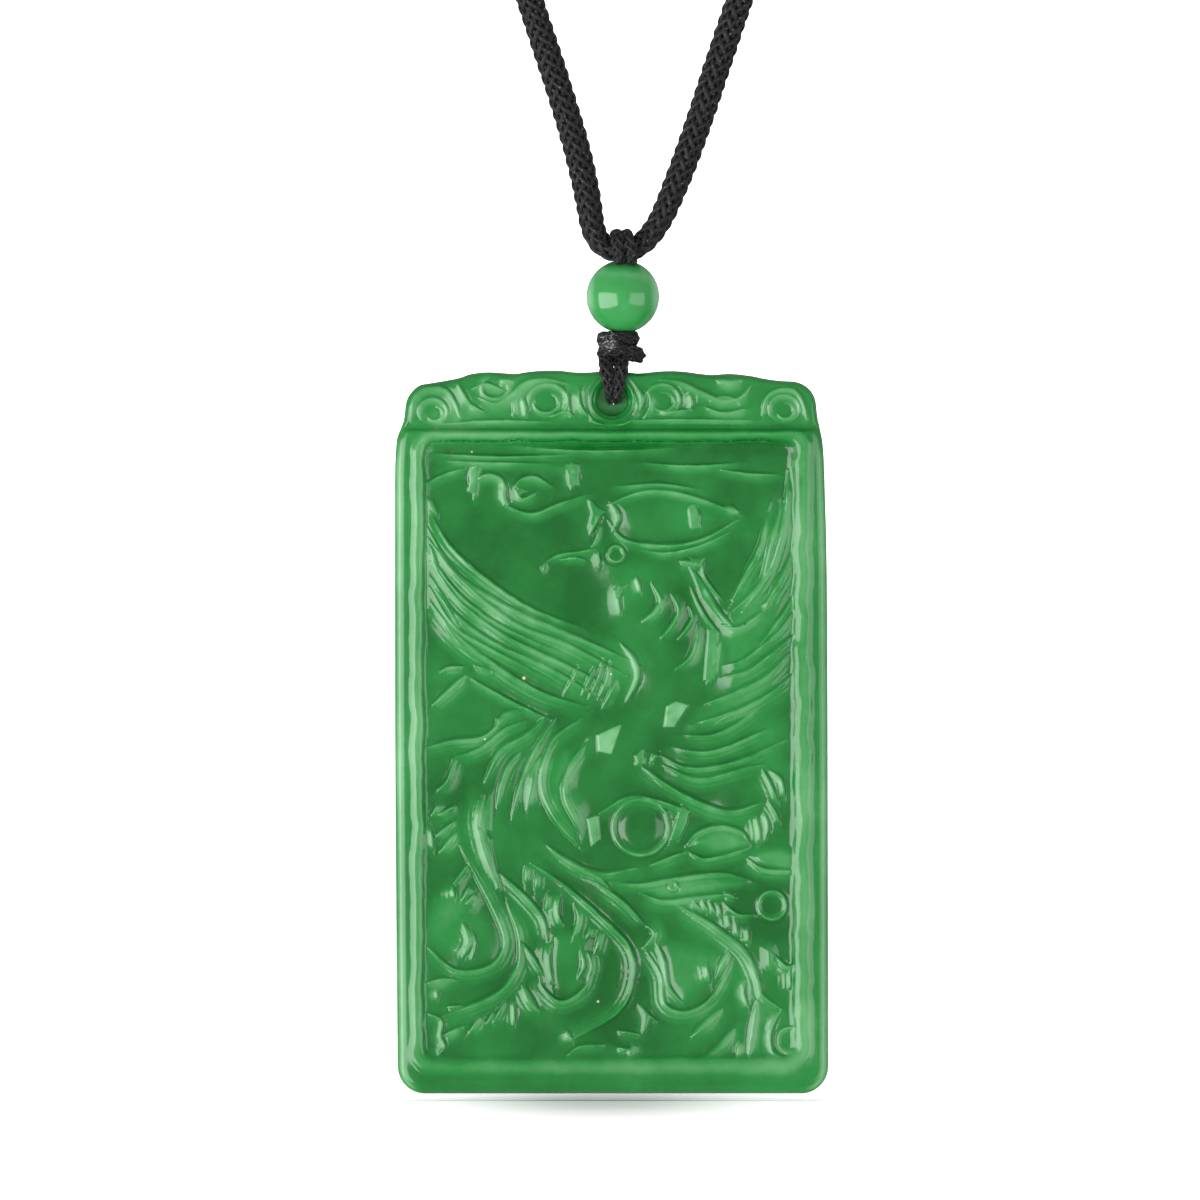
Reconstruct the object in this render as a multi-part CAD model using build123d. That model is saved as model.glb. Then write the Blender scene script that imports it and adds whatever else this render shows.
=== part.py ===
from build123d import *
from math import cos, hypot, pi, radians, sin, sqrt, tan
import os

# A necklace: a carved jade plaque and a jade bead hang on thin black cord from a braided neck cord.
# Millimetres, +Z up, the carved face towards -Y. The origin is where the joining sleeve rests on the nape.

os.makedirs("parts", exist_ok=True)

# cords
cord_width = 2.2
thin_width = 0.95
strand_gap = 0.05
wrap_clearance = 0.15
cord_end_gap = 0.2
sleeve_width = 3.4
sleeve_length = 11.0
sleeve_clearance = 0.05

# bead, and the knot under it
bead_width = 6.0
bead_drop = 0.45
bead_offset = 0.15
bore_clearance = 0.13
bore_gap = 0.15
bore_chamfer = 0.15
knot_width = 3.84
knot_depth = 3.14
knot_height = 2.1
knot_offset = -0.25
knot_gap = 0.13
knot_turn_width = 1.0
knot_turn_inset = 0.03
knot_core_inset = 0.35
knot_tail_width = 0.95
knot_tail_reach = 2.05
loop_end_in_knot = 0.45
loop_start_in_knot = 0.4
bore_exit_radius = 1.2
knot_exit_radius = 1.35
wrap_radius_share = 0.95

# plaque
plaque_width = 36.0
plaque_height = 60.2
front_depth = 2.75
back_depth = 2.2
knot_to_plaque = 0.845
front_bevel = 1.3
back_bevel = 0.9
bottom_corner = 2.3
hole_drop = 2.42
hole_room = 0.325
hole_seat = 0.09
hole_chamfer = 0.3
border_height = 4.9
border_depth = 0.55
border_line_height = 0.35
ridge_width = 0.85
field_depth = 0.9
field_corner = 1.4
ground_height = 0.35
line_height = 0.65
carving_root = 0.1
border_root = 1.0
loop_clearance = 0.1
loop_crest = 0.2

# The neck cord's route as (x, z), chosen by hand: from the nape down the left side, round the fold that
# carries the bead, and up the right side.
neck_route = [
    (-11.0, 1.7), (-28.0, -5.0), (-42.5, -19.0), (-51.0, -38.5), (-53.0, -63.0), (-49.5, -91.0),
    (-41.0, -128.0), (-28.0, -174.0), (-15.7, -214.0), (-7.75, -239.0), (-3.6, -251.5), (-2.1, -257.4),
    (-1.3, -262.0), (2.8, -262.0), (5.9, -255.0), (9.8, -244.0), (18.0, -220.0), (31.0, -181.0),
    (45.0, -136.0), (54.0, -99.0), (57.5, -71.0), (56.5, -46.0), (48.5, -24.0), (32.0, -6.5), (12.0, 1.7),
]

# places that follow from the sizes
fold_height = min(z for x, z in neck_route)
fold_corners = [x for x, z in neck_route if z == fold_height]
bead_side = sum(fold_corners) / len(fold_corners) + bead_offset
strand_side = (thin_width + strand_gap) / 2
bore_side = (thin_width + bore_gap) / 2
bead_bore = 2 * (hypot(strand_side, bore_side) + thin_width / 2 + bore_clearance)
bead_height = fold_height - cord_width / 2 - bead_drop - bead_width / 2
wrap_reach = (cord_width + thin_width) / 2 + wrap_clearance
knot_top = bead_height - bead_width / 2 - knot_gap
knot_bottom = knot_top - knot_height
plaque_top = knot_bottom - knot_to_plaque
hole_width = 2 * (strand_side + thin_width / 2 + hole_room)
hole_height = plaque_top - hole_drop

# The carving is charted in squares: columns from the plaque's middle line, rows down from its top edge.
chart_columns = 432
chart_rows = 722

# carved lines: the width in squares, then the squares that the line runs through
top_border_lines = [
    (6, (-201, 49), (-199, 29), (-185, 18), (-168, 19), (-157, 31), (-151, 47)),
    (6, (-133, 27), (-116, 33), (-100, 24), (-87, 13), (-67, 9), (-45, 14)),
    (7, (-152, 14), (-146, 27), (-132, 39)),
    (6, (-90, 28), (-88, 47)),
    (5, (48, 9), (68, 12), (88, 21), (110, 30), (128, 27), (139, 15)),
    (8, (104, 9), (130, 10)),
    (7, (77, 22), (79, 37)),
    (6, (150, 43), (152, 29), (164, 20), (182, 21), (191, 34), (193, 47)),
    (5, (-34, 19), (-32, 35), (-22, 47)),
    (5, (33, 20), (32, 35), (22, 47)),
]
cloud_lines = [
    (9, (-137, 94), (-139, 108), (-138, 128)),
    (6, (-136, 110), (-123, 104), (-110, 111), (-106, 134)),
    (5, (-108, 134), (-80, 143), (-52, 133), (-22, 123)),
    (4, (-98, 116), (-90, 108), (-76, 106), (-60, 116), (-76, 122)),
    (10, (-40, 92), (-39, 105), (-40, 118)),
    (5, (-177, 86), (-100, 87), (-32, 90)),
    (7, (-179, 334), (-162, 319), (-146, 304)),
    (5, (-176, 301), (-164, 295), (-149, 295)),
]
head_lines = [
    (5, (-66, 191), (-52, 184), (-32, 181), (-16, 178)),
    (4, (-52, 189), (-37, 187), (-25, 190)),
    (5, (-14, 179), (-12, 197)),
    (8, (-22, 129), (-18, 143), (-8, 147)),
    (6, (-6, 150), (-20, 165)),
    (5, (-4, 134), (23, 123), (50, 120), (88, 128), (130, 145)),
    (6, (0, 158), (13, 169), (53, 175), (90, 169), (126, 149)),
    (4, (28, 179), (56, 182), (88, 175), (118, 161)),
    (8, (-2, 131), (6, 146), (1, 160)),
    (9, (80, 134), (84, 146), (81, 158)),
]
neck_lines = [
    (5, (24, 206), (27, 214), (29, 223)),
    (8, (40, 213), (48, 229), (43, 241), (31, 250)),
    (6, (59, 223), (66, 239), (60, 254), (49, 267)),
    (6, (76, 234), (80, 246), (74, 258), (66, 268)),
    (6, (8, 213), (6, 227), (9, 245)),
    (5, (86, 251), (84, 269), (78, 286), (64, 298)),
    (7, (8, 271), (21, 287), (26, 307), (14, 331)),
    (8, (78, 197), (91, 217), (104, 239), (121, 257)),
    (5, (78, 214), (86, 232), (96, 249), (108, 263)),
    (8, (97, 259), (102, 279), (100, 297), (95, 312)),
]
right_wing_lines = [
    (6, (156, 144), (146, 179), (133, 203), (120, 229)),
    (7, (171, 129), (158, 174), (147, 214), (118, 242)),
    (8, (176, 99), (172, 149), (156, 204), (130, 241)),
    (7, (185, 169), (174, 197), (160, 221), (150, 245)),
    (6, (186, 212), (176, 235), (161, 257), (145, 277)),
    (6, (183, 262), (158, 284), (136, 300), (110, 306)),
    (6, (178, 283), (154, 306), (126, 320), (92, 333)),
    (5, (163, 319), (132, 336), (108, 345), (86, 351)),
    (5, (151, 334), (126, 352), (100, 364), (71, 364)),
]
claw_lines = [
    (6, (48, 384), (78, 397), (123, 391), (173, 370)),
    (7, (51, 394), (88, 408), (138, 396), (154, 394)),
    (7, (28, 394), (68, 422), (115, 440), (150, 432)),
    (5, (152, 397), (159, 414), (167, 435)),
    (5, (160, 399), (169, 409), (173, 426)),
    (5, (156, 429), (163, 440), (168, 452)),
    (5, (144, 444), (147, 459), (148, 472)),
]
left_tail_lines = [
    (5, (-174, 419), (-164, 408), (-157, 386)),
    (5, (-155, 384), (-130, 376), (-106, 357), (-84, 349)),
    (6, (-186, 377), (-162, 370), (-127, 365), (-105, 343)),
    (9, (-117, 357), (-106, 344), (-90, 338)),
    (8, (-66, 345), (-84, 363), (-112, 381), (-127, 411)),
    (6, (-92, 381), (-104, 395), (-112, 416), (-115, 436)),
    (7, (-56, 346), (-76, 377), (-91, 411), (-100, 445)),
    (12, (-71, 386), (-80, 409), (-85, 439)),
    (7, (-30, 347), (-60, 371), (-71, 411), (-60, 444), (-35, 474)),
    (6, (-27, 372), (-44, 399), (-48, 426), (-33, 458), (-30, 471)),
]
middle_lines = [
    (6, (-12, 442), (18, 426), (53, 430), (74, 444), (65, 471)),
    (8, (-65, 474), (-44, 490), (-12, 503), (24, 497)),
    (5, (-37, 497), (-12, 507), (1, 522)),
    (5, (38, 494), (58, 486), (78, 479)),
    (6, (73, 475), (85, 462), (108, 455), (130, 461), (138, 474)),
    (5, (135, 487), (152, 498), (184, 500)),
    (6, (28, 522), (53, 530), (88, 526), (123, 521)),
    (4, (111, 531), (126, 543), (145, 543)),
]
lower_lines = [
    (12, (-128, 424), (-132, 449), (-126, 479), (-111, 519)),
    (6, (-152, 474), (-134, 509), (-115, 547), (-108, 574), (-122, 595), (-157, 598), (-186, 573)),
    (8, (-149, 551), (-142, 569), (-149, 586)),
    (7, (-105, 531), (-93, 567), (-95, 597), (-117, 624), (-175, 647)),
    (10, (-89, 614), (-82, 629), (-74, 640)),
    (7, (-60, 571), (-63, 589), (-59, 610)),
    (5, (-73, 604), (-68, 617), (-50, 630), (-27, 616), (-20, 591)),
    (8, (-31, 579), (-29, 594), (-34, 607)),
    (7, (-112, 502), (-87, 525), (-69, 547), (-64, 568)),
    (7, (-82, 491), (-47, 514), (-7, 549), (18, 577), (22, 607), (6, 641), (-42, 669)),
    (6, (-15, 512), (11, 530), (31, 552), (41, 563), (31, 577)),
    (7, (43, 571), (52, 589), (56, 614), (70, 630)),
    (5, (49, 604), (53, 632), (73, 641), (98, 627), (121, 587)),
    (7, (116, 579), (107, 597), (104, 607)),
    (9, (63, 532), (103, 556), (133, 581), (146, 609), (150, 624), (170, 638)),
    (10, (110, 637), (96, 651), (80, 665)),
    (11, (122, 657), (110, 675), (92, 690)),
    (9, (145, 631), (140, 659), (136, 691)),
    (9, (28, 633), (35, 647), (31, 662)),
    (6, (168, 639), (159, 659), (160, 679), (169, 688)),
    (6, (163, 584), (175, 595), (187, 591)),
    (7, (-187, 612), (-170, 608), (-151, 609)),
    (6, (-185, 641), (-170, 649), (-170, 664), (-175, 684)),
    (5, (-46, 687), (-32, 675), (-6, 673)),
]

# short barbs and small feathers: the width, where each starts and where it ends
barbs = [
    (5, (-33, 294), (-48, 323)), (5, (-18, 296), (-30, 324)), (5, (-8, 287), (-24, 329)),
    (5, (-1, 289), (-14, 329)), (5, (5, 309), (-10, 338)), (5, (-173, 444), (-156, 434)),
    (5, (-175, 464), (-156, 449)), (5, (-172, 481), (-155, 460)), (5, (-142, 491), (-159, 513)),
    (5, (-142, 514), (-150, 529)), (5, (-86, 494), (-87, 512)), (5, (-75, 501), (-77, 519)),
    (5, (-64, 521), (-67, 539)), (5, (-52, 522), (-49, 552)), (6, (-37, 535), (-38, 566)),
    (5, (-22, 554), (-25, 567)), (6, (-11, 559), (-18, 584)), (5, (-107, 629), (-119, 652)),
    (5, (-118, 639), (-126, 653)), (5, (-131, 644), (-143, 661)), (5, (-98, 629), (-97, 654)),
    (5, (78, 526), (88, 538)), (5, (97, 528), (103, 543)), (5, (106, 530), (109, 546)),
    (5, (115, 540), (118, 559)), (5, (123, 546), (126, 567)), (5, (135, 554), (137, 572)),
    (5, (127, 669), (124, 689)), (5, (5, 659), (28, 663)), (6, (22, 671), (15, 690)),
]

# the left wing: its first and last long feather, with the feathers between them worked out
left_wing_first = [(-187, 131), (-152, 185), (-92, 229), (-27, 257), (36, 288)]
left_wing_last = [(-182, 229), (-154, 269), (-112, 293), (-67, 319), (-26, 336)]
left_wing_feathers = 7
left_wing_feather_width = 6

# low rounded grounds that the lines stand on, as closed outlines
grounds = [
    [(-188, 120), (-150, 178), (-90, 223), (-25, 250), (34, 278), (44, 300), (20, 338), (-20, 342),
     (-70, 326), (-116, 300), (-158, 276), (-186, 240)],
    [(182, 100), (168, 120), (150, 160), (118, 232), (104, 262), (104, 312), (70, 352), (76, 370),
     (130, 356), (170, 330), (186, 290), (187, 230), (187, 160)],
    [(-20, 140), (-30, 168), (-62, 186), (-20, 196), (6, 232), (40, 270), (66, 300), (96, 300),
     (96, 250), (74, 206), (40, 186), (20, 172)],
    [(-18, 356), (0, 338), (36, 318), (74, 320), (78, 356), (44, 390), (10, 404), (-14, 388)],
    [(-46, 372), (-66, 400), (-58, 440), (-36, 470), (-20, 440), (-36, 410), (-28, 384)],
    [(0, 512), (28, 513), (58, 508), (108, 502), (138, 509), (123, 521), (88, 526), (53, 529), (28, 521)],
    [(74, 476), (86, 463), (108, 456), (130, 462), (138, 476), (108, 485)],
    [(-152, 500), (-116, 560), (-116, 590), (-150, 594), (-186, 566), (-186, 530)],
    [(-62, 560), (-22, 560), (-24, 610), (-50, 624), (-66, 606)],
    [(44, 560), (116, 586), (98, 618), (72, 634), (56, 612)],
]

# scrolls of the top border: middle column and row, radius, and the side to which each one curls
scrolls = [(-179, 42, 13, 1), (-117, 19, 11, -1), (-64, 30, 14, -1), (50, 30, 13, 1), (172, 38, 13, -1)]
scroll_width = 4
scroll_steps = 8
scroll_turn = pi / 3
scroll_tightening = 0.085

# rings: the middle, the radius and the width
pearl = (29, 456)
pearl_radius = 20
rings = [(pearl, 29, 5), ((4, 183), 9, 4), ((178, 668), 13, 4), ((160, 534), 14, 5)]
ring_sides = 16
line_end_share = 0.2
ground_corners_per_point = 2

# corners of the plaque's outline, clockwise from the top's middle
plaque_corners = [
    (0, 0), (28, 2), (58, 0), (100, 4), (120, 3), (153, 8), (183, 11), (194, 16), (202, 29), (207, 57),
    (212, 99), (215, 240), (216, 722), (-214, 722), (-216, 400), (-217, 89), (-212, 61), (-207, 49),
    (-205, 29), (-200, 20), (-190, 13), (-152, 7), (-127, 1), (-98, 3), (-62, 0), (-30, 2),
]
field_taper = 40


def place(column, row):
    """A place on the carved face, from its column and row on the chart."""
    return (column * plaque_width / chart_columns, plaque_top - row * plaque_height / chart_rows)


def squares(number):
    return number * plaque_height / chart_rows


# Cords

def arc_radii(points):
    """The radius at each corner: 0.45 of the shorter run, divided by the tangent of half the turn."""
    radii = []
    for before, corner, after in zip(points, points[1:], points[2:]):
        first, second = Vector(*corner) - Vector(*before), Vector(*after) - Vector(*corner)
        half_turn = radians(first.get_angle(second)) / 2
        radii.append(0.45 * min(first.length, second.length) / tan(half_turn))
    return radii


def tube(name, points, width, radii=None):
    """A round cord along straight runs that tangent arcs join."""
    radii = radii or arc_radii(points)
    path = FilletPolyline(*points, radius=radii)
    section = Plane(origin=path @ 0, z_dir=path % 0) * Circle(width / 2)
    solid = sweep(section, path=path)
    expected = pi * width**2 / 4 * path.length
    print(name, "radii", [round(radius, 1) for radius in radii])
    print(name, "length", round(path.length, 1), "volume over section x length", solid.volume / expected)
    return solid


def neck_cord():
    ends = [(-cord_end_gap / 2, sleeve_width / 2), (cord_end_gap / 2, sleeve_width / 2)]
    route = [ends[0], *neck_route, ends[1]]
    return tube("neck_cord", [(x, 0, z) for x, z in route], cord_width)


def joining_sleeve():
    bore = cord_width + 2 * sleeve_clearance
    section = Circle(sleeve_width / 2) - Circle(bore / 2)
    sleeve = extrude(Plane.YZ * section, amount=sleeve_length / 2, both=True)
    return Pos(0, 0, sleeve_width / 2) * sleeve


def bead_loop(name, side):
    """From the knot up through the bead, over the neck cord and down again, front to back."""
    slant = wrap_reach * sqrt(2)
    half = [
        (bore_side, knot_top - fold_height - loop_end_in_knot),
        (bore_side, bore_side - slant),
        (wrap_reach, wrap_reach - slant),
        (wrap_reach, wrap_reach),
    ]
    points = half + [(-y, z) for y, z in reversed(half)]
    half_radii = [bore_exit_radius, wrap_reach, wrap_radius_share * wrap_reach]
    x = bead_side + side * strand_side
    path = [(x, y, fold_height + z) for y, z in points]
    return tube(name, path, thin_width, half_radii + half_radii[::-1])


def plaque_loop(name, side):
    """From the knot over the plaque's top edge, through the hole and back up behind."""
    reach = back_depth + loop_clearance + thin_width / 2
    room = hole_width / 2 - hole_seat - thin_width / 2
    in_hole = hole_height + sqrt(room**2 - strand_side**2)
    start = (loop_start_in_knot, knot_bottom + loop_end_in_knot)
    half = [start, (reach, plaque_top + loop_crest), (reach, in_hole)]
    points = half + [(-y, z) for y, z in reversed(half)]
    half_radii = [knot_exit_radius, thin_width]
    path = [(side * strand_side, y, z) for y, z in points]
    return tube(name, path, thin_width, half_radii + half_radii[::-1])


def lower_knot():
    """Two turns of thin cord round a core, with the cut end standing out on the right."""
    core = SlotOverall(knot_width - 2 * knot_core_inset, knot_depth - 2 * knot_core_inset)
    knot = extrude(core, amount=knot_height / 2, both=True)
    turn = SlotOverall(knot_width - knot_turn_width, knot_depth - knot_turn_width).wire()
    turn_height = (knot_height - knot_turn_width) / 2 - knot_turn_inset
    section = Plane(origin=turn @ 0, z_dir=turn % 0) * Circle(knot_turn_width / 2)
    ring = sweep(section, path=turn)
    tail_place = Pos(0, -bore_side, -turn_height) * Rot(0, 90, 0)
    tail = tail_place * Cylinder(
        knot_tail_width / 2, knot_tail_reach, align=(Align.CENTER, Align.CENTER, Align.MIN)
    )
    knot = knot.fuse(Pos(0, 0, turn_height) * ring, Pos(0, 0, -turn_height) * ring, tail)
    return Pos(bead_side + knot_offset, 0, (knot_top + knot_bottom) / 2) * knot


def bead():
    ball = Sphere(bead_width / 2) - Cylinder(bead_bore / 2, 2 * bead_width)
    rims = ball.edges().filter_by(GeomType.CIRCLE)
    return Pos(bead_side, 0, bead_height) * chamfer(rims, bore_chamfer)


# Carving

def outline_face(points):
    return make_face(Polyline(*points, close=True))


def line_face(width, points):
    """A carved line with narrow ends, as a face in the front plane."""
    spine = Line(*points) if len(points) == 2 else Spline(*points)
    steps = len(points) + 1
    left, right = [], []
    for step in range(steps + 1):
        at = step / steps
        reach = squares(width) / 2 * max(line_end_share, sqrt(sin(pi * at)))
        middle, way = spine @ at, spine % at
        left.append((middle.X - way.Y * reach, middle.Y + way.X * reach))
        right.append((middle.X + way.Y * reach, middle.Y - way.X * reach))
    return outline_face(left + right[::-1])


def chart_line(row):
    width, *points = row
    return line_face(width, [place(*point) for point in points])


def ground_face(outline):
    """A low rounded ground from its corners on the chart."""
    border = Spline(*[place(*point) for point in outline], periodic=True)
    corners = ground_corners_per_point * len(outline)
    return outline_face([tuple(border @ (number / corners))[:2] for number in range(corners)])


def feather_fan():
    """The left wing's long feathers, evenly spaced from its first to its last."""
    rows = []
    for number in range(left_wing_feathers):
        share = number / (left_wing_feathers - 1)
        points = [
            (a + (c - a) * share, b + (d - b) * share)
            for (a, b), (c, d) in zip(left_wing_first, left_wing_last)
        ]
        rows.append((left_wing_feather_width, *points))
    return rows


def scroll_face(column, row, radius, side):
    """A curl that winds in by one turn and a quarter."""
    points = []
    for step in range(scroll_steps):
        angle = pi / 2 + side * step * scroll_turn
        reach = radius * (1 - scroll_tightening * step)
        points.append(place(column + reach * cos(angle), row - reach * sin(angle)))
    return line_face(scroll_width, points)


def ring_face(middle, radius, width):
    at = Pos(*place(*middle))
    return at * RegularPolygon(squares(radius), ring_sides) - at * RegularPolygon(
        squares(radius - width), ring_sides
    )


def raised(faces, depth, height, root):
    """Faces raised from a floor that lies the given depth behind the frame's ridge."""
    base = Plane.XZ.offset(front_depth - depth - root)
    merged = Sketch() + faces
    return [extrude(base * face, amount=height + root) for face in merged.faces()]


def carving():
    """The bird, its wings and tail, and the clouds round it."""
    rows = cloud_lines + head_lines + neck_lines + right_wing_lines + claw_lines + left_tail_lines
    rows += middle_lines + lower_lines + barbs + feather_fan()
    lines = [chart_line(row) for row in rows]
    lines += [ring_face(*ring) for ring in rings]
    low = [ground_face(outline) for outline in grounds]
    low.append(Pos(*place(*pearl)) * RegularPolygon(squares(pearl_radius), ring_sides))
    solids = raised(low, field_depth, ground_height, carving_root)
    return solids + raised(lines, field_depth, line_height, carving_root)


def border_carving():
    rows = [chart_line(row) for row in top_border_lines]
    rows += [scroll_face(*scroll) for scroll in scrolls]
    return raised(rows, border_depth, border_line_height, border_root)


# Plaque

def plaque_outline():
    """A scalloped top between two shoulders, over straight sides and a rounded foot."""
    border = Polyline(*[place(*point) for point in plaque_corners], close=True)
    face = make_face(border)
    foot = face.vertices().sort_by(Axis.Y)[:2]
    return fillet(foot, bottom_corner)


def cord_hole():
    """The hole for the thin cord, opened out at both faces."""
    hole = Cylinder(hole_width / 2, 2 * (front_depth + back_depth))
    mouth = Cone(hole_width / 2, hole_width / 2 + 2 * hole_chamfer, 2 * hole_chamfer)
    hole += [Pos(0, 0, back_depth) * mouth, Pos(0, 0, -back_depth) * Rot(180, 0, 0) * mouth]
    return Pos(0, 0, hole_height) * Rot(90, 0, 0) * hole


def plaque():
    slab = extrude(Plane.XZ.offset(-back_depth) * plaque_outline(), amount=front_depth + back_depth)
    slab = chamfer(slab.faces().sort_by(Axis.Y)[0].edges(), front_bevel)
    slab = chamfer(slab.faces().sort_by(Axis.Y)[-1].edges(), back_bevel)
    slab -= Pos(0, -front_depth, plaque_top) * Box(2 * plaque_width, 2 * border_depth, 2 * border_height)
    frame = front_bevel + ridge_width
    field_top = border_height + ridge_width
    field_height = plaque_height - field_top - frame
    field = Pos(0, plaque_top - field_top - field_height / 2) * RectangleRounded(
        plaque_width - 2 * frame, field_height, field_corner
    )
    slab -= extrude(Plane.XZ.offset(front_depth) * field, amount=-field_depth, taper=field_taper)
    slab -= cord_hole()
    return slab.fuse(*carving(), *border_carving())


parts = {
    "neck_cord": neck_cord(),
    "joining_sleeve": joining_sleeve(),
    "bead": bead(),
    "bead_loop_left": bead_loop("bead_loop_left", -1),
    "bead_loop_right": bead_loop("bead_loop_right", 1),
    "lower_knot": lower_knot(),
    "plaque_loop_left": plaque_loop("plaque_loop_left", -1),
    "plaque_loop_right": plaque_loop("plaque_loop_right", 1),
    "plaque": plaque(),
}
for name, part in parts.items():
    export_step(part, f"parts/{name}.step")
    print(name, len(part.solids()), round(part.volume, 2), part.is_valid)
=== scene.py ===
import functools
import math
import bpy
import numpy as np
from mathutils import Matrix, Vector, geometry


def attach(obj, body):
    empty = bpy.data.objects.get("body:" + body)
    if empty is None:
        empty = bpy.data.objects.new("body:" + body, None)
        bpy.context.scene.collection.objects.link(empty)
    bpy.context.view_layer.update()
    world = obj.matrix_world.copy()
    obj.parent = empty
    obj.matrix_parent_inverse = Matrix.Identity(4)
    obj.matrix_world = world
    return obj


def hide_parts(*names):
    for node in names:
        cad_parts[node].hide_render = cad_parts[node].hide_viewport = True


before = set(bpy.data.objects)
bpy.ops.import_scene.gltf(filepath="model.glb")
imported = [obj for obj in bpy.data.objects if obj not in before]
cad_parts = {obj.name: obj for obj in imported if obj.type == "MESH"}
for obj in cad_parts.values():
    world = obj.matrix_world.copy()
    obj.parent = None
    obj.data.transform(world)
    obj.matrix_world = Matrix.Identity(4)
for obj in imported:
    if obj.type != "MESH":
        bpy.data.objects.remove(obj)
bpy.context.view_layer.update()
mm = 0.001


def linear(hexColour):
    # one sRGB hex colour as linear red, green, blue and alpha
    parts = [int(hexColour[i:i + 2], 16) / 255 for i in (1, 3, 5)]
    return tuple(c / 12.92 if c <= 0.04045 else ((c + 0.055) / 1.055) ** 2.4 for c in parts) + (1.0,)


def addNode(tree, kind, inputs=(), **settings):
    # a node with its settings, and its inputs as values or as the nodes and sockets that they come from
    node = tree.nodes.new(kind)
    for name, value in settings.items():
        setattr(node, name, value)
    for key, value in inputs.items() if isinstance(inputs, dict) else enumerate(inputs):
        value = value.outputs[0] if isinstance(value, bpy.types.Node) else value
        if isinstance(value, bpy.types.NodeSocket):
            tree.links.new(value, node.inputs[key])
        else:
            node.inputs[key].default_value = value
    return node


def newObject(name, data):
    made = bpy.data.objects.new(name, data)
    bpy.context.collection.objects.link(made)
    return made


def meshObject(name, points, faces, material):
    mesh = bpy.data.meshes.new(name)
    mesh.from_pydata(np.asarray(points).tolist(), [], faces)
    mesh.materials.append(material)
    mesh.shade_smooth()
    return newObject(name, mesh)


def plainMesh(holder):
    # an object's finished shape as a mesh with no modifiers; the object itself goes
    bpy.context.view_layer.update()
    mesh = bpy.data.meshes.new_from_object(holder.evaluated_get(bpy.context.evaluated_depsgraph_get()))
    bpy.data.objects.remove(holder)
    return mesh


def smoothStep(value):
    t = np.clip(value, 0, 1)
    return t * t * (3 - 2 * t)


# the camera is level and looks straight at the pendant's front, from where the frame is 100 mm wide
photo = {"side": 1200, "perMm": 12.0, "axisColumn": 612, "foldRow": 243.5, "foldZ": -262.0,
         "distance": 1500.0, "sensor": 36.0}


def photoPlace(column, row):
    # a place in the photo as x and z in mm, in the pendant's plane
    x = (column - photo["axisColumn"]) / photo["perMm"]
    return x, photo["foldZ"] - (row - photo["foldRow"]) / photo["perMm"]


centreX, centreZ = photoPlace(photo["side"] / 2, photo["side"] / 2)
camera = newObject("camera", bpy.data.cameras.new("camera"))
camera.data.sensor_width = photo["sensor"]
camera.data.lens = photo["sensor"] * photo["distance"] / (photo["side"] / photo["perMm"])
camera.location = (centreX * mm, -photo["distance"] * mm, centreZ * mm)
camera.rotation_euler = (math.pi / 2, 0, 0)
camera.data.clip_start, camera.data.clip_end = 0.01, 20
bpy.context.scene.camera = camera
print("camera made")


def newMaterial(name):
    material = bpy.data.materials.new(name)
    material.use_nodes = True
    material.node_tree.nodes.clear()
    return material


def finishMaterial(material, inputs):
    tree = material.node_tree
    shader = addNode(tree, "ShaderNodeBsdfPrincipled", inputs)
    addNode(tree, "ShaderNodeOutputMaterial", {"Surface": shader})
    return material


def jadeMaterial(name, stone):
    # jadeite, ground and polished: a clear shine over a cloudy green that lets light in; its pale attribute colours
    # it paler or deeper, with painted highlights and painted shade as well as the stone's own tone
    material = newMaterial(name)
    add = functools.partial(addNode, material.node_tree)
    place = add("ShaderNodeTexCoord").outputs["Object"]
    # pale: the stone's own tone together with painted highlights and painted shade
    pale = add("ShaderNodeAttribute", attribute_name="pale").outputs["Fac"]
    # clouds in the stone, and finer ones within them
    clouds = add("ShaderNodeTexNoise", {
        "Vector": place, "Scale": 1 / (stone["clouds"] * mm), "Detail": 6, "Roughness": 0.66,
    })
    shifted = add("ShaderNodeMath", (clouds, stone["cloudy"], -0.5 * stone["cloudy"]), operation="MULTIPLY_ADD")
    tone = add("ShaderNodeMath", (pale, shifted), operation="ADD", use_clamp=True)
    # the ramp's palest colour serves both the stone's milky tone and the painted highlights
    colour = add("ShaderNodeValToRGB", {"Fac": tone})
    colour.color_ramp.elements.new(0.5)
    for element, (at, key) in zip(colour.color_ramp.elements, ((0.0, "deep"), (0.36, "body"), (1.0, "milkyAndLit"))):
        element.position = at
        element.color = linear(stone[key])
    # tiny natural specks
    flat = add("ShaderNodeVectorMath", (place, (1, 0, 1)), operation="MULTIPLY")
    for column, row, radius, speckColour in stone["specks"]:
        x, z = photoPlace(column, row)
        away = add("ShaderNodeVectorMath", (flat, (x * mm, 0, z * mm)), operation="DISTANCE")
        share = add("ShaderNodeMapRange", {
            "Value": away.outputs["Value"], "From Min": 0.5 * radius * mm, "From Max": radius * mm,
            "To Min": 0.9, "To Max": 0.0,
        })
        colour = add("ShaderNodeMix", {0: share, 6: colour, 7: linear(speckColour)}, data_type="RGBA").outputs[2]
    # polish marks: a very shallow ripple about half a millimetre wide
    ripple = add("ShaderNodeTexNoise", {"Vector": place, "Scale": 1 / (0.55 * mm), "Detail": 2})
    return finishMaterial(material, {
        "Base Color": colour, "Roughness": stone["roughness"], "IOR": 1.66,
        "Subsurface Weight": 0.3, "Subsurface Radius": (0.5, 1.0, 0.55), "Subsurface Scale": 1.2 * mm,
        "Normal": add("ShaderNodeBump", {"Height": ripple, "Strength": 0.12, "Distance": 0.05 * mm}),
    })


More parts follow.
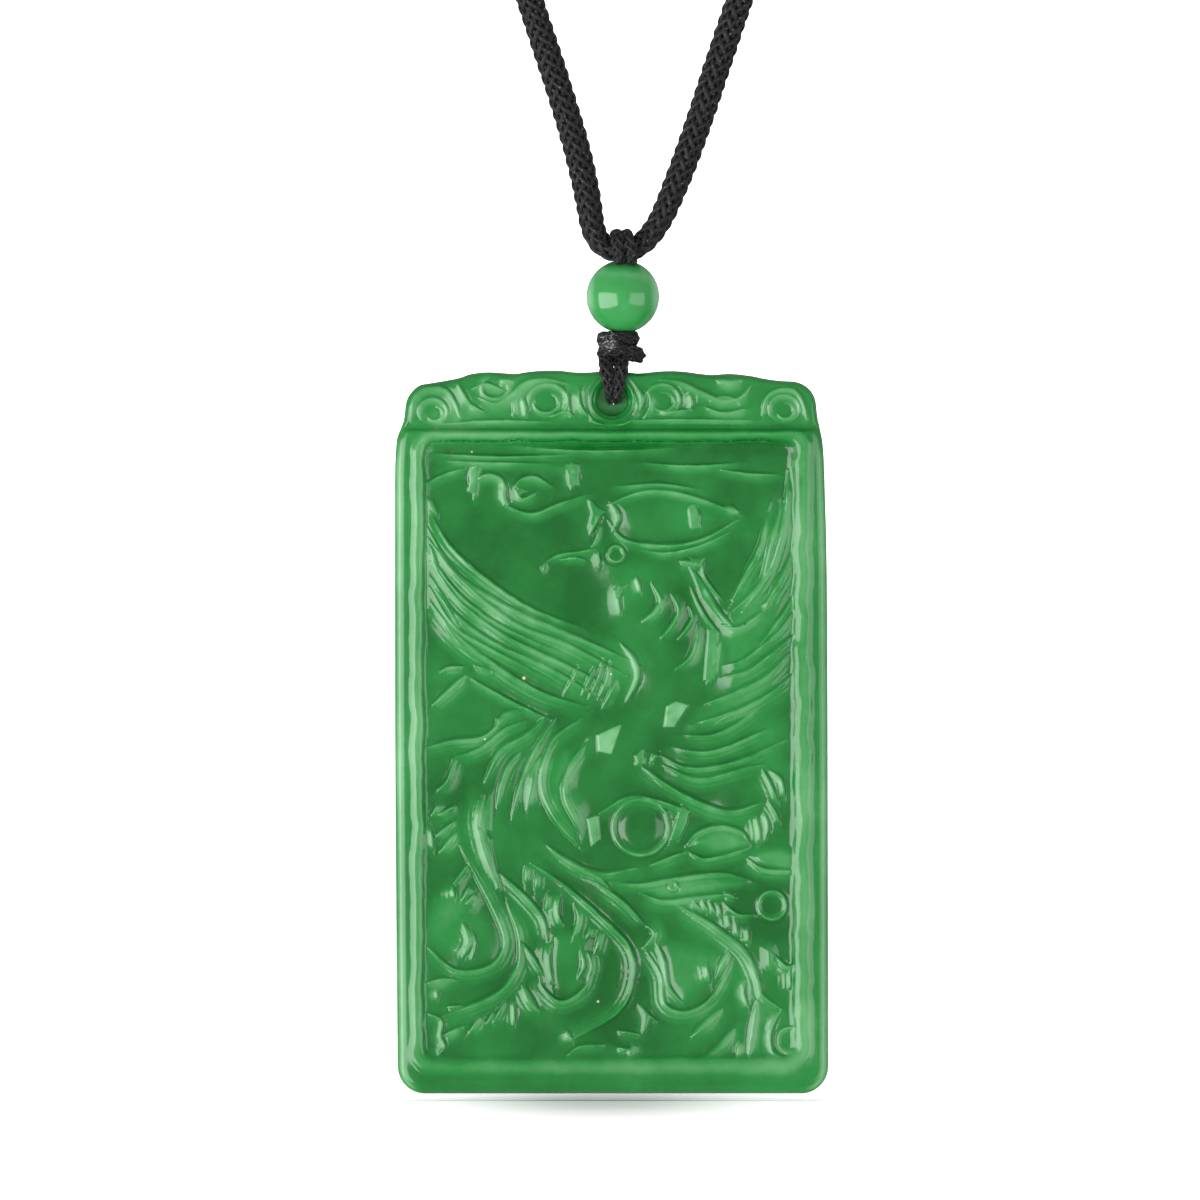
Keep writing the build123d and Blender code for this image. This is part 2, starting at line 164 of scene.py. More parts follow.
plaqueJade = jadeMaterial("plaqueJade", {
    "deep": "#065c1c", "body": "#207f37", "milkyAndLit": "#76b27e", "clouds": 6.0, "cloudy": 0.62, "roughness": 0.16,
    "specks": [
        # column and row in the photo, radius in mm, colour
        (452, 452, 0.16, "#6b4a2a"), (472, 452, 0.09, "#d9d3a8"), (524, 678, 0.17, "#e6cf9f"),
        (598, 1001, 0.13, "#e2d3a6"), (485, 739, 0.12, "#c9d8a0"), (745, 624, 0.11, "#123d1c"),
        (611, 674, 0.1, "#d6efd8"),
    ],
})
beadJade = jadeMaterial("beadJade", {
    "deep": "#1e7d33", "body": "#3c944f", "milkyAndLit": "#8fc199", "clouds": 4.0, "cloudy": 0.5, "roughness": 0.12,
    "specks": [],
})

cordLook = {
    "black": ("#030304", "#111113"), "paintedSparkle": "#85858a", "fibre": 0.09, "grain": 0.16,
    "drawnStrands": 8.0, "lay": 8.24, "relief": 0.18, "paintedGlintAt": (-0.35, -1.45, -270.3), "paintedGlint": (0.5, 1.3, 0.16),
}


def cordMaterial(name, look):
    # braided black polyester: near black, with a soft sheen on each strand and painted glints of fine bright fibres
    material = newMaterial(name)
    add = functools.partial(addNode, material.node_tree)
    place = add("ShaderNodeTexCoord").outputs["Object"]
    along, around, skin = [
        add("ShaderNodeAttribute", attribute_name=key).outputs["Fac"] for key in ("along", "around", "skin")
    ]
    # the braid where it is drawn on the tube: diamonds of crossing strands
    turns = add("ShaderNodeMath", (along, look["drawnStrands"] / look["lay"]), operation="MULTIPLY")
    ways = [add("ShaderNodeMath", (around, way * look["drawnStrands"], turns), operation="MULTIPLY_ADD")
            for way in (1, -1)]
    cells = [add("ShaderNodeMath", (way,), operation="FLOOR") for way in ways]
    inside = [add("ShaderNodeMath", (way, 1.0), operation="PINGPONG") for way in ways]
    parity = add("ShaderNodeMath", cells, operation="ADD")
    over = add("ShaderNodeMath", (parity, 2.0), operation="FLOORED_MODULO")
    height = add("ShaderNodeMix", {0: over, 2: inside[0], 3: inside[1]}, data_type="FLOAT")
    drawn = add("ShaderNodeMath", (height, skin), operation="MULTIPLY")
    braid = add("ShaderNodeBump", {"Height": drawn, "Strength": 1.0, "Distance": look["relief"] * mm})
    fibre = add("ShaderNodeTexNoise", {"Vector": place, "Scale": 1 / (look["fibre"] * mm), "Detail": 3})
    # painted glints: bright specks for single fibres, and more of them at the left of the knot
    near, far, most = look["paintedGlint"]
    glint = add("ShaderNodeVectorMath", (place, [c * mm for c in look["paintedGlintAt"]]), operation="DISTANCE")
    paintedGlint = add("ShaderNodeMapRange", {
        "Value": glint.outputs["Value"], "From Min": near * mm, "From Max": far * mm, "To Min": most, "To Max": 0.0,
    })
    grain = add("ShaderNodeTexNoise", {"Vector": place, "Scale": 1 / (look["grain"] * mm), "Detail": 2})
    raised = add("ShaderNodeMath", (grain, paintedGlint), operation="ADD")
    paintedSparkle = add("ShaderNodeMapRange", {"Value": raised, "From Min": 0.65, "From Max": 0.76})
    darker, lighter = [linear(colour) for colour in look["black"]]
    black = add("ShaderNodeMix", {0: fibre, 6: darker, 7: lighter}, data_type="RGBA").outputs[2]
    tint = add("ShaderNodeMix", {0: paintedSparkle, 6: black, 7: linear(look["paintedSparkle"])}, data_type="RGBA").outputs[2]
    return finishMaterial(material, {
        "Base Color": tint, "Roughness": 0.42, "Sheen Weight": 0.04, "Sheen Roughness": 0.4,
        "Normal": add("ShaderNodeBump", {
            "Height": fibre, "Strength": 0.9, "Distance": 0.07 * mm, "Normal": braid,
        }),
    })


blackCord = cordMaterial("blackCord", cordLook)
# moulded soft plastic: matt and near black
blackSleeve = finishMaterial(newMaterial("blackSleeve"), {"Base Color": linear("#161618"), "Roughness": 0.45})
print("materials made")


# Cords: each braid is a node tree along a curve of listed control points, x and z in mm

neckRoute = [
    (-0.1, 1.7), (-11.0, 1.7), (-28.0, -5.0), (-42.5, -19.0), (-51.0, -38.5), (-53.0, -63.0), (-49.5, -91.0),
    (-41.0, -128.0), (-28.0, -174.0), (-15.7, -214.0), (-7.75, -239.0), (-3.6, -251.5), (-2.1, -257.4),
    (-1.35, -262.65), (3.0, -262.6), (6.2, -255.1), (9.8, -244.0), (18.0, -220.0), (31.0, -181.0),
    (45.0, -136.0), (54.0, -99.0), (57.5, -71.0), (56.5, -46.0), (48.5, -24.0), (32.0, -6.5), (12.0, 1.7),
    (0.1, 1.7),
]
braidLengths = ["across", "deep", "strand", "lay", "wave", "step", "skin", "start", "end", "skinStart"]
braidInputs = {
    "Geometry": ["Geometry"], "Int": ["strands", "sides"], "Vector": ["axis"], "Material": ["material"],
    "Float": [*braidLengths, "flattenAcross", "flattenDeep", "coreShare"],
}


def braidTree():
    # strands that wind round a curve both ways, each over two and under two, about a plain core
    tree = bpy.data.node_groups.new("braid", "GeometryNodeTree")
    add = functools.partial(addNode, tree)
    for kind, names in braidInputs.items():
        for name in names:
            tree.interface.new_socket(name, in_out="INPUT", socket_type="NodeSocket" + kind)
    tree.interface.new_socket("Geometry", in_out="OUTPUT", socket_type="NodeSocketGeometry")
    given = add("NodeGroupInput").outputs
    whole = add("GeometryNodeResampleCurve", {"Curve": given["Geometry"]}, mode="EVALUATED")
    cut = add("GeometryNodeTrimCurve", {0: whole, 4: given["start"], 5: given["end"]}, mode="LENGTH")
    even = add("GeometryNodeResampleCurve", {"Curve": cut, "Length": given["step"]}, mode="LENGTH")
    copies = add("GeometryNodeDuplicateElements", {"Geometry": even, "Amount": given["strands"]}, domain="SPLINE")
    runs = add("GeometryNodeSplineParameter").outputs
    at = add("ShaderNodeSeparateXYZ", [add("GeometryNodeInputPosition")])
    known = {
        **{socket.name: socket for socket in given}, "number": copies.outputs["Duplicate Index"],
        "length": runs["Length"], "radius": add("GeometryNodeInputRadius"),
    }
    sums = [
        # what it is, how it is worked out, and from what
        ("odd", "MODULO", "number", 2.0), ("way", "MULTIPLY_ADD", "odd", 2.0, -1.0),
        ("pair", "DIVIDE", "number", 2.0), ("place", "FLOOR", "pair"), ("oneWay", "DIVIDE", "strands", 2.0),
        ("turns", "DIVIDE", "length", "lay"), ("wound", "MULTIPLY", "turns", "way"),
        ("apart", "DIVIDE", "place", "oneWay"), ("laps", "ADD", "wound", "apart"),
        ("angle", "MULTIPLY", "laps", math.tau), ("cosine", "COSINE", "angle"), ("sine", "SINE", "angle"),
        # a strand goes under two and over two of those that it crosses
        ("both", "MULTIPLY", "oneWay", 2.0), ("met", "MULTIPLY", "turns", "both"),
        ("crossings", "MULTIPLY", "met", "way"), ("count", "MULTIPLY_ADD", "place", 2.0, "crossings"),
        ("beat", "MULTIPLY_ADD", "count", math.pi / 2, math.pi / 4), ("swing", "SINE", "beat"),
        ("sided", "MULTIPLY", "swing", "way"), ("lift", "MULTIPLY", "sided", "wave"),
        # the control points' radius squeezes the cord one way or the other
        ("squeeze", "SUBTRACT", "radius", 1.0),
        ("deepShare", "MULTIPLY_ADD", "squeeze", "flattenDeep", 1.0), ("deepOut", "ADD", "deep", "lift"),
        ("deepReach", "MULTIPLY", "deepOut", "deepShare"), ("deepStep", "MULTIPLY", "cosine", "deepReach"),
        ("wideShare", "MULTIPLY_ADD", "squeeze", "flattenAcross", 1.0), ("wideOut", "ADD", "across", "lift"),
        ("wideReach", "MULTIPLY", "wideOut", "wideShare"), ("wideStep", "MULTIPLY", "sine", "wideReach"),
        ("dived", "ADD", "skinStart", 1.8 * mm), ("skinned", "ADD", "skinStart", 0.8 * mm),
        ("coreStep", "MULTIPLY", "step", 3.0), ("lengthMm", "MULTIPLY", "length", 1 / mm),
    ]
    for name, operation, *values in sums:
        known[name] = add("ShaderNodeMath", [known.get(value, value) for value in values], operation=operation)
    ahead = add("GeometryNodeInputTangent")
    deepCross = add("ShaderNodeVectorMath", (ahead, given["axis"]), operation="CROSS_PRODUCT")
    deepWay = add("ShaderNodeVectorMath", [deepCross], operation="NORMALIZE")
    wideCross = add("ShaderNodeVectorMath", (deepWay, ahead), operation="CROSS_PRODUCT")
    wideWay = add("ShaderNodeVectorMath", [wideCross], operation="NORMALIZE")
    deepMove = add("ShaderNodeVectorMath", {0: deepWay, "Scale": known["deepStep"]}, operation="SCALE")
    wideMove = add("ShaderNodeVectorMath", {0: wideWay, "Scale": known["wideStep"]}, operation="SCALE")
    rounded = add("ShaderNodeVectorMath", (deepMove, wideMove), operation="ADD")
    # where the strands are no longer laid one by one they dive under the skin
    dive = add("ShaderNodeMapRange", {
        "Value": at.outputs["Z"], "From Min": given["skinStart"], "From Max": known["dived"],
        "To Min": 1.0, "To Max": 0.8,
    })
    offset = add("ShaderNodeVectorMath", {0: rounded, "Scale": dive}, operation="SCALE")
    moved = add("GeometryNodeSetPosition", {"Geometry": copies, "Offset": offset})
    plain = add("GeometryNodeSetCurveRadius", {"Curve": moved, "Radius": 1.0})
    ring = add("GeometryNodeCurvePrimitiveCircle", {"Resolution": given["sides"], "Radius": given["strand"]},
               mode="RADIUS")
    strands = add("GeometryNodeCurveToMesh", {"Curve": plain, "Profile Curve": ring, "Fill Caps": True})

    # the core, which is the whole cord's skin where the strands aren't laid one by one
    smooth = add("GeometryNodeResampleCurve", {"Curve": whole, "Length": known["coreStep"]}, mode="LENGTH")
    far = add("ShaderNodeMapRange", {
        "Value": at.outputs["Z"], "From Min": given["skinStart"], "From Max": known["skinned"],
        "To Min": given["coreShare"], "To Max": 1.0,
    })
    sized = add("GeometryNodeSetCurveRadius", {"Curve": smooth, "Radius": far})
    skinRing = add("GeometryNodeCurvePrimitiveCircle", {"Resolution": 20, "Radius": given["skin"]}, mode="RADIUS")
    marks = {"data_type": "FLOAT", "domain": "POINT"}
    alongCore = add("GeometryNodeStoreNamedAttribute", {
        "Geometry": sized, "Name": "along", "Value": known["lengthMm"],
    }, **marks)
    aroundRing = add("GeometryNodeStoreNamedAttribute", {
        "Geometry": skinRing, "Name": "around", "Value": runs["Factor"],
    }, **marks)
    core = add("GeometryNodeCurveToMesh", {
        "Curve": alongCore, "Profile Curve": aroundRing, "Fill Caps": True, "Scale": known["radius"],
    })
    skinned = add("GeometryNodeStoreNamedAttribute", {"Geometry": core, "Name": "skin", "Value": 1.0}, **marks)
    both = add("GeometryNodeJoinGeometry")
    for part in (strands, skinned):
        tree.links.new(part.outputs[0], both.inputs[0])
    real = add("GeometryNodeRealizeInstances", [both])
    shaded = add("GeometryNodeSetShadeSmooth", [real])
    painted = add("GeometryNodeSetMaterial", {"Geometry": shaded, "Material": given["material"]})
    add("NodeGroupOutput", [painted])
    return tree


braid = braidTree()


def routeCurve(name, splines, cyclic=False):
    # a curve with no bevel through rows of control points: x, y and z in mm, and a radius
    data = bpy.data.curves.new(name, "CURVE")
    data.dimensions = "3D"
    data.resolution_u = 16
    for rows in splines:
        spline = data.splines.new("NURBS")
        spline.points.add(len(rows) - 1)
        for point, (x, y, z, radius) in zip(spline.points, rows):
            point.co = (x * mm, y * mm, z * mm, 1.0)
            point.radius = radius
        spline.order_u = 3
        spline.use_cyclic_u = cyclic
        spline.use_endpoint_u = not cyclic
    return data


def braided(name, data, sizes, axis):
    # lays the braid along a curve and gives it back as a plain mesh
    holder = newObject(name + "Route", data)
    modifier = holder.modifiers.new("braid", "NODES")
    modifier.node_group = braid
    given = {**sizes, "axis": axis, "material": blackCord}
    for item in braid.interface.items_tree:
        if item.in_out == "INPUT" and item.name in given:
            value = given[item.name]
            modifier[item.identifier] = value * mm if item.name in braidLengths else value
    mesh = plainMesh(holder)
    mesh.name = name
    if not mesh.materials:
        mesh.materials.append(blackCord)
    print(name, "triangles", sum(len(p.vertices) - 2 for p in mesh.polygons))
    return newObject(name, mesh)


neck = {
    "strands": 16, "sides": 6, "across": 0.91, "deep": 0.86, "strand": 0.235, "lay": 8.24, "wave": 0.1,
    "step": 0.14, "skin": 1.15, "coreShare": 0.72, "flattenAcross": 0.0, "flattenDeep": 1.0,
    "laidBelow": -236.0, "diveRoom": 2.4, "foldRadius": 0.8, "foldHeight": -259.0,
}
neckRows = [(x, 0.0, z, neck["foldRadius"] if z < neck["foldHeight"] else 1.0) for x, z in neckRoute]
# the curve's own line says how far along it the strands are laid one by one
neckCurve = routeCurve("neckRoute", [neckRows])
line = np.array([v.co[:] for v in plainMesh(newObject("reader", neckCurve)).vertices]) / mm
lengths = np.concatenate([[0], np.cumsum(np.linalg.norm(np.diff(line, axis=0), axis=1))])
laid = lengths[line[:, 2] < neck["laidBelow"] + neck["diveRoom"]]
neck.update(start=laid.min(), end=laid.max(), skinStart=neck["laidBelow"] + 0.5)
neckCord = braided("neckCord", neckCurve, neck, (0, 1, 0))
print("neck cord", round(lengths[-1], 1), "mm along its line")

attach(neckCord, "cord")
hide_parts("neck_cord")

thin = {
    "strands": 8, "sides": 6, "across": 0.31, "deep": 0.31, "strand": 0.155, "lay": 2.9, "wave": 0.045,
    "step": 0.07, "skin": 0.3, "coreShare": 1.0, "flattenAcross": 1.0, "flattenDeep": 0.0,
    "start": 0, "end": 100, "skinStart": 0,
}

# the wrap: two turns of thin cord from the bead's bore, over the fold of the neck cord and down again
wrap = {"middle": 0.9, "top": -261.25, "bore": 0.36, "low": -269.6}


def wrapRows(side):
    top, bore = wrap["middle"] - 0.13 + 0.42 * side, wrap["middle"] + 0.36 * side
    low = wrap["middle"] + 0.28 + 0.5 * side
    half = [
        (bore, wrap["bore"], wrap["low"], 0.8), (bore, wrap["bore"], -265.2, 0.8), (bore, 0.55, -264.0, 0.9),
        (low, 1.25, -263.5, 1.1), (low - 0.1, 1.72, -262.7, 1.2), (top + 0.1, 1.5, -261.55, 1.2),
    ]
    front = [(a, -b, c, d) for a, b, c, d in half]
    return half + [(top, 0.0, wrap["top"] + 0.12, 1.2)] + front[::-1]


for name, side in (("beadLoopLeft", -1), ("beadLoopRight", 1)):
    data = routeCurve(name + "Route", [wrapRows(side)])
    loop = braided(name, data, thin, (1, 0, 0))
    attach(loop, "cord")
    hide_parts("bead_loop_left" if side < 0 else "bead_loop_right")

# the knot under the bead: two stacked turns, a slanting pass in front and the cut end on the right
knotCord = {
    **thin, "across": 0.40, "deep": 0.30, "strand": 0.19, "lay": 3.6, "wave": 0.05, "flattenAcross": 0.5,
    "skin": 0.42,
}
knotTurns = [
    # centre x, half width, half depth, height, tilt across, radius
    (0.50, 1.34, 1.02, -269.92, 0.05, 1.15),
    (0.56, 1.36, 1.05, -271.14, -0.03, 1.1),
    (0.50, 0.55, 0.45, -270.1, 0.0, 1.6),
    (0.50, 0.60, 0.45, -271.1, 0.0, 1.6),
]


def turnRows(centre, halfWidth, halfDepth, height, tilt, radius):
    rows = []
    for step in range(8):
        angle = math.tau * step / 8
        rows.append((
            centre + halfWidth * 1.08 * math.cos(angle), halfDepth * 1.08 * math.sin(angle),
            height + tilt * math.cos(angle), radius,
        ))
    return rows


turns = routeCurve("knotTurnRoute", [turnRows(*row) for row in knotTurns], cyclic=True)
knot = braided("lowerKnot", turns, knotCord, (0, 0, 1))
tailRows = [
    (0.5, 0.1, -270.9, 1.0), (1.1, -0.9, -270.95, 1.2), (1.7, -1.0, -271.15, 1.5), (2.0, -0.8, -271.25, 1.7),
    (2.25, -0.6, -271.3, 1.6), (2.42, -0.45, -271.32, 1.2), (2.44, -0.4, -271.32, 0.1),
]
passRows = [
    (-0.7, 0.3, -269.9, 1.0), (-0.85, -0.85, -270.0, 1.0), (-0.35, -1.28, -270.2, 1.1),
    (0.35, -1.34, -270.6, 1.1), (1.1, -1.05, -271.0, 1.0), (1.5, -0.4, -271.1, 1.0),
]
ends = routeCurve("knotEndRoute", [tailRows, passRows])
knotEnds = braided("knotEnds", ends, knotCord, (0, 0, 1))
for piece in (knot, knotEnds):
    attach(piece, "cord")
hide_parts("lower_knot")

# the loop through the plaque's hole: flat and wide under the knot, narrow in the hole
holeLoop = {**thin, "deep": 0.22, "strand": 0.15, "lay": 3.8, "wave": 0.035, "skin": 0.2}


def holeRows(side):
    top, low = 0.145 + side * 0.62, 0.13 + side * 0.26
    half = [
        (top, 0.25, -271.3, 1.5), (top, 1.6, -271.75, 1.55), (top, 2.6, -272.3, 1.55),
        (0.3 * low + 0.7 * top, 2.8, -273.3, 1.3), (low, 2.65, -274.95, 0.75), (low, 1.3, -275.1, 0.5),
    ]
    front = [(a, -b, c, d) for a, b, c, d in half]
    return half + [(low, 0.0, -275.0, 0.6)] + front[::-1]


for name, side in (("plaqueLoopLeft", -1), ("plaqueLoopRight", 1)):
    data = routeCurve(name + "Route", [holeRows(side)])
    loop = braided(name, data, holeLoop, (1, 0, 0))
    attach(loop, "cord")
    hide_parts("plaque_loop_left" if side < 0 else "plaque_loop_right")
print("cords laid")


def turned(name, profile, segments, axis, middle, material):
    # a closed profile of radius and height pairs, turned round an axis; its last point joins its first
    rows, steps = len(profile), np.arange(segments) * math.tau / segments
    points = []
    for radius, height in profile:
        for angle in steps:
            across, deep = radius * math.cos(angle), radius * math.sin(angle)
            place = (across, deep, height) if axis == "z" else (height, across, deep)
            points.append([(c + m) * mm for c, m in zip(place, middle)])
    faces = []
    for row in range(rows):
        after = (row + 1) % rows
        for step in range(segments):
            nextStep = (step + 1) % segments
            faces.append((row * segments + step, row * segments + nextStep,
                          after * segments + nextStep, after * segments + step))
    return meshObject(name, points, faces, material)


beadSizes = {"radius": 3.04, "bore": 0.82, "rim": 0.08, "middle": (0.9, 0.0, -266.42), "rows": 72, "segments": 144}
radius, bore, rim = beadSizes["radius"], beadSizes["bore"], beadSizes["rim"]
edge = math.asin((bore + rim) / radius)
profile = [(radius * math.sin(a), -radius * math.cos(a))
           for a in np.linspace(edge, math.pi - edge, beadSizes["rows"])]
top = profile[-1][1]
rimRows = [(math.sin(a), math.cos(a)) for a in np.linspace(0.3, math.pi / 2, 5)]
rimTop = [(bore + rim * (1 - s), top - rim * (1 - c)) for s, c in rimRows]
profile += rimTop + [(r, -z) for r, z in rimTop[::-1]]
bead = turned("jadeBead", profile, beadSizes["segments"], "z", beadSizes["middle"], beadJade)
pale = bead.data.attributes.new("pale", "FLOAT", "POINT")
# painted reflections make the bead paler at its left and right and in a band below its top, and painted shade makes
# it deeper at the top and below
balls = np.array([v.co[:] for v in bead.data.vertices]) / mm - beadSizes["middle"]
balls /= beadSizes["radius"]
paleness = 0.3 + 0.55 * smoothStep((np.abs(balls[:, 0]) - 0.68) / 0.32) + (
    0.15 * np.exp(-(((balls[:, 2] - 0.6 + 0.1 * balls[:, 0]) / 0.14) ** 2)))
paleness -= 0.25 * smoothStep((balls[:, 2] - 0.74) / 0.16) + 0.1 * smoothStep((-0.1 - balls[:, 2]) / 0.5)
pale.data.foreach_set("value", np.clip(paleness, 0, 1).astype(np.float32))
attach(bead, "cord")
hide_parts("bead")

sleeveSizes = {"radius": 1.7, "bore": 1.15, "half": 5.5, "lip": 0.22, "middle": (0.0, 0.0, 1.7), "segments": 64}
lips = [(sleeveSizes["lip"] * (1 - math.cos(a)), sleeveSizes["lip"] * (1 - math.sin(a)))
        for a in np.linspace(0, math.pi / 2, 6)]
half = [(sleeveSizes["radius"] - c, sleeveSizes["half"] - s) for c, s in lips]
half += [(sleeveSizes["bore"] + s, sleeveSizes["half"] - c) for c, s in lips]
profile = [(r, -h) for r, h in half[::-1]] + half
sleeve = turned("joiningSleeve", profile, sleeveSizes["segments"], "x", sleeveSizes["middle"], blackSleeve)
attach(sleeve, "cord")
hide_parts("joining_sleeve")
print("bead and sleeve made")


# Plaque: its front is a carved height field on a chart of squares, 12 to the mm, from the middle line
# and from the top edge

chart = {"perMm": 12.0, "top": -272.625, "left": -224, "right": 224, "first": -8, "last": 730, "samples": 2}

# the outline as column and row: the scalloped top from the left shoulder to the right one
topOutline = [
    (-217, 110), (-216.5, 89), (-215, 69), (-212, 60), (-208, 49), (-205.5, 31), (-200, 21), (-192, 14.5),
    (-182, 12.5), (-167, 10), (-152, 7), (-142, 3.5), (-127, 1.5), (-112, 2), (-97, 3), (-87, 1.5), (-72, 0),
    (-52, 0), (-37, 1.5), (-22, 1.5), (-10, 0.5), (4, 0.8), (18, 1.8), (28, 2.5), (48, 0.5), (68, 0.5),
    (88, 3), (100, 4), (118, 3), (138, 5), (153, 8), (168, 10), (183, 11), (193, 15), (200, 22), (203.5, 31),
    (205, 44), (207.5, 57), (210, 69), (211.5, 85), (212.5, 110),
]
sideOutline = {"leftMiddle": (-216.5, 400), "rightUpper": (215, 240), "footLeft": -214, "footRight": 216,
               "foot": 722, "corner": 27.5}
field = {"left": -190.0, "right": 185.0, "top": 66.5, "foot": 689.0, "corner": 15.0}
depths = {"edge": 1.45, "edgeRise": 0.9, "edgeRound": 0.2, "ridge": 2.64, "band": 2.2, "floor": 1.85, "back": 2.2}


def throughPoints(points, steps):
    # a smooth line through points, with so many steps to each span
    p = np.array(points, float)
    if len(p) == 2:
        return p[0] + (p[1] - p[0]) * np.linspace(0, 1, steps * 2 + 1)[:, None]
    padded = np.vstack([2 * p[0] - p[1], p, 2 * p[-1] - p[-2]])
    t = np.arange(steps)[:, None] / steps
    rows = []
    for a, b, c, d in zip(padded, padded[1:], padded[2:], padded[3:]):
        rows.append(0.5 * (2 * b + (c - a) * t + (2 * a - 5 * b + 4 * c - d) * t**2
                           + (3 * b - a - 3 * c + d) * t**3))
    return np.vstack(rows + [p[-1:]])


def cornerArc(centre, radius, start, steps):
    angles = np.radians(start) - np.linspace(0, math.pi / 2, steps)
    return np.column_stack([centre[0] + radius * np.cos(angles), centre[1] - radius * np.sin(angles)])


foot, corner = sideOutline["foot"], sideOutline["corner"]
rightSide = throughPoints([topOutline[-1], sideOutline["rightUpper"], (sideOutline["footRight"], foot - corner)], 40)
leftSide = throughPoints([(sideOutline["footLeft"], foot - corner), sideOutline["leftMiddle"], topOutline[0]], 40)
outline = np.vstack([
    throughPoints(topOutline, 6)[:-1], rightSide[:-1],
    cornerArc((sideOutline["footRight"] - corner, foot - corner), corner, 0, 16)[:-1],
    cornerArc((sideOutline["footLeft"] + corner, foot - corner), corner, -90, 16)[:-1],
    leftSide[:-1],
])

samples = chart["samples"]
columns = np.arange(chart["left"], chart["right"], 1 / samples)
rows = np.arange(chart["first"], chart["last"], 1 / samples)
columnGrid, rowGrid = np.meshgrid(columns, rows)


def patch(points, margin):
    # the slices of the rasters round some points
    low, high = np.min(points, axis=0) - margin, np.max(points, axis=0) + margin
    cuts = []
    for k, start, count in ((1, chart["first"], len(rows)), (0, chart["left"], len(columns))):
        ends = [int((low[k] - start) * samples), int((high[k] - start) * samples) + 1]
        cuts.append(slice(*np.clip(ends, 0, count)))
    return tuple(cuts)


def lineDistance(line, limit):
    # round a line: the slices, the distance to it out to a limit, the share along it, and 1 on its right side
    at = patch(line, limit)
    shape = (at[0].stop - at[0].start, at[1].stop - at[1].start)
    best, along, side = np.full(shape, float(limit)), np.zeros(shape), np.ones(shape)
    runs = np.linalg.norm(np.diff(line, axis=0), axis=1)
    total, done = max(runs.sum(), 1e-9), 0.0
    for (ax, ay), (bx, by), run in zip(line, line[1:], runs):
        if run < 1e-9:
            continue
        near = patch([(ax, ay), (bx, by)], limit)
        own = tuple(slice(n.start - a.start, n.stop - a.start) for n, a in zip(near, at))
        x, y = columnGrid[near], rowGrid[near]
        t = np.clip(((x - ax) * (bx - ax) + (y - ay) * (by - ay)) / run**2, 0, 1)
        d = np.hypot(x - ax - t * (bx - ax), y - ay - t * (by - ay))
        nearer = d < best[own]
        best[own] = np.where(nearer, d, best[own])
        along[own] = np.where(nearer, (done + t * run) / total, along[own])
        side[own] = np.where(nearer, (x - ax) * (by - ay) - (y - ay) * (bx - ax) < 0, side[own])
        done += run
    return at, best, along, side


def insideOf(x, y, line):
    # true where a sample lies inside a closed line
    inside = np.zeros(x.shape, bool)
    for (ax, ay), (bx, by) in zip(line, np.roll(line, -1, axis=0)):
        if ay != by:
            inside ^= ((ay > y) != (by > y)) & (x < (bx - ax) * (y - ay) / (by - ay) + ax)
    return inside


def blurred(values, reach):
    # evens out a raster over so many squares, twice, with a sliding mean
    width = max(int(round(reach * samples)), 1) * 2 + 1
    for _ in range(2):
        for axis in (0, 1):
            pads = [(0, 0), (0, 0)]
            pads[axis] = (width // 2 + 1, width // 2)
            total = np.cumsum(np.pad(values, pads, mode="edge"), axis=axis)
            total = np.moveaxis(total, axis, 0)
            values = np.moveaxis((total[width:] - total[:-width]) / width, 0, axis)
    return values


def readBetween(values, u, v, ease=np.asarray):
    # a raster's values between its samples
    i, j = u.astype(int), v.astype(int)
    s, t = ease(u - i), ease(v - j)
    upper = values[j, i] * (1 - s) + values[j, i + 1] * s
    lower = values[j + 1, i] * (1 - s) + values[j + 1, i + 1] * s
    return upper * (1 - t) + lower * t


def softNoise(cell, seed):
    # smooth noise from -1 to 1 with bumps about the given number of squares wide
    high = int((chart["last"] - chart["first"]) / cell) + 3
    wide = int((chart["right"] - chart["left"]) / cell) + 3
    grid = np.random.default_rng(seed).uniform(-1, 1, (high, wide))
    return readBetween(grid, (columnGrid - chart["left"]) / cell, (rowGrid - chart["first"]) / cell, smoothStep)


ground, stroke, groove, ledge, pale, paintedCrestHighlight, facetShare, paintedFacetHighlight = np.zeros((8, *columnGrid.shape))


def keepHigher(raster, at, values):
    raster[at] = np.maximum(raster[at], values)


def carveGround(points, height, edge, paleness):
    # a rounded form that stands above the floor and falls off over its edge, in squares
    line = throughPoints(list(points) + [points[0]], 5)
    at, d, _, _ = lineDistance(line, edge * 1.4)
    d = np.where(insideOf(columnGrid[at], rowGrid[at], line[:-1]), d, -d)
    form = smoothStep((d + 0.3 * edge) / (1.3 * edge))
    keepHigher(ground, at, height * form)
    keepHigher(pale, at, paleness * form)


mottle = 0.5 + 0.5 * softNoise(13, 41)
grainy = 0.5 + 0.5 * softNoise(7, 42)
# how a line is cut, in mm of height and squares of width
cutting = {
    "roundness": 1.3, "skirtRise": 0.017, "combEvery": 4.6, "combHeight": 0.03, "combFrom": 10,
    "grooveDepth": 0.06, "grooveWidth": 1.5, "grooveAt": 1.15, "crestWidth": 1.2, "paintedCrestHighlight": 0.25,
}


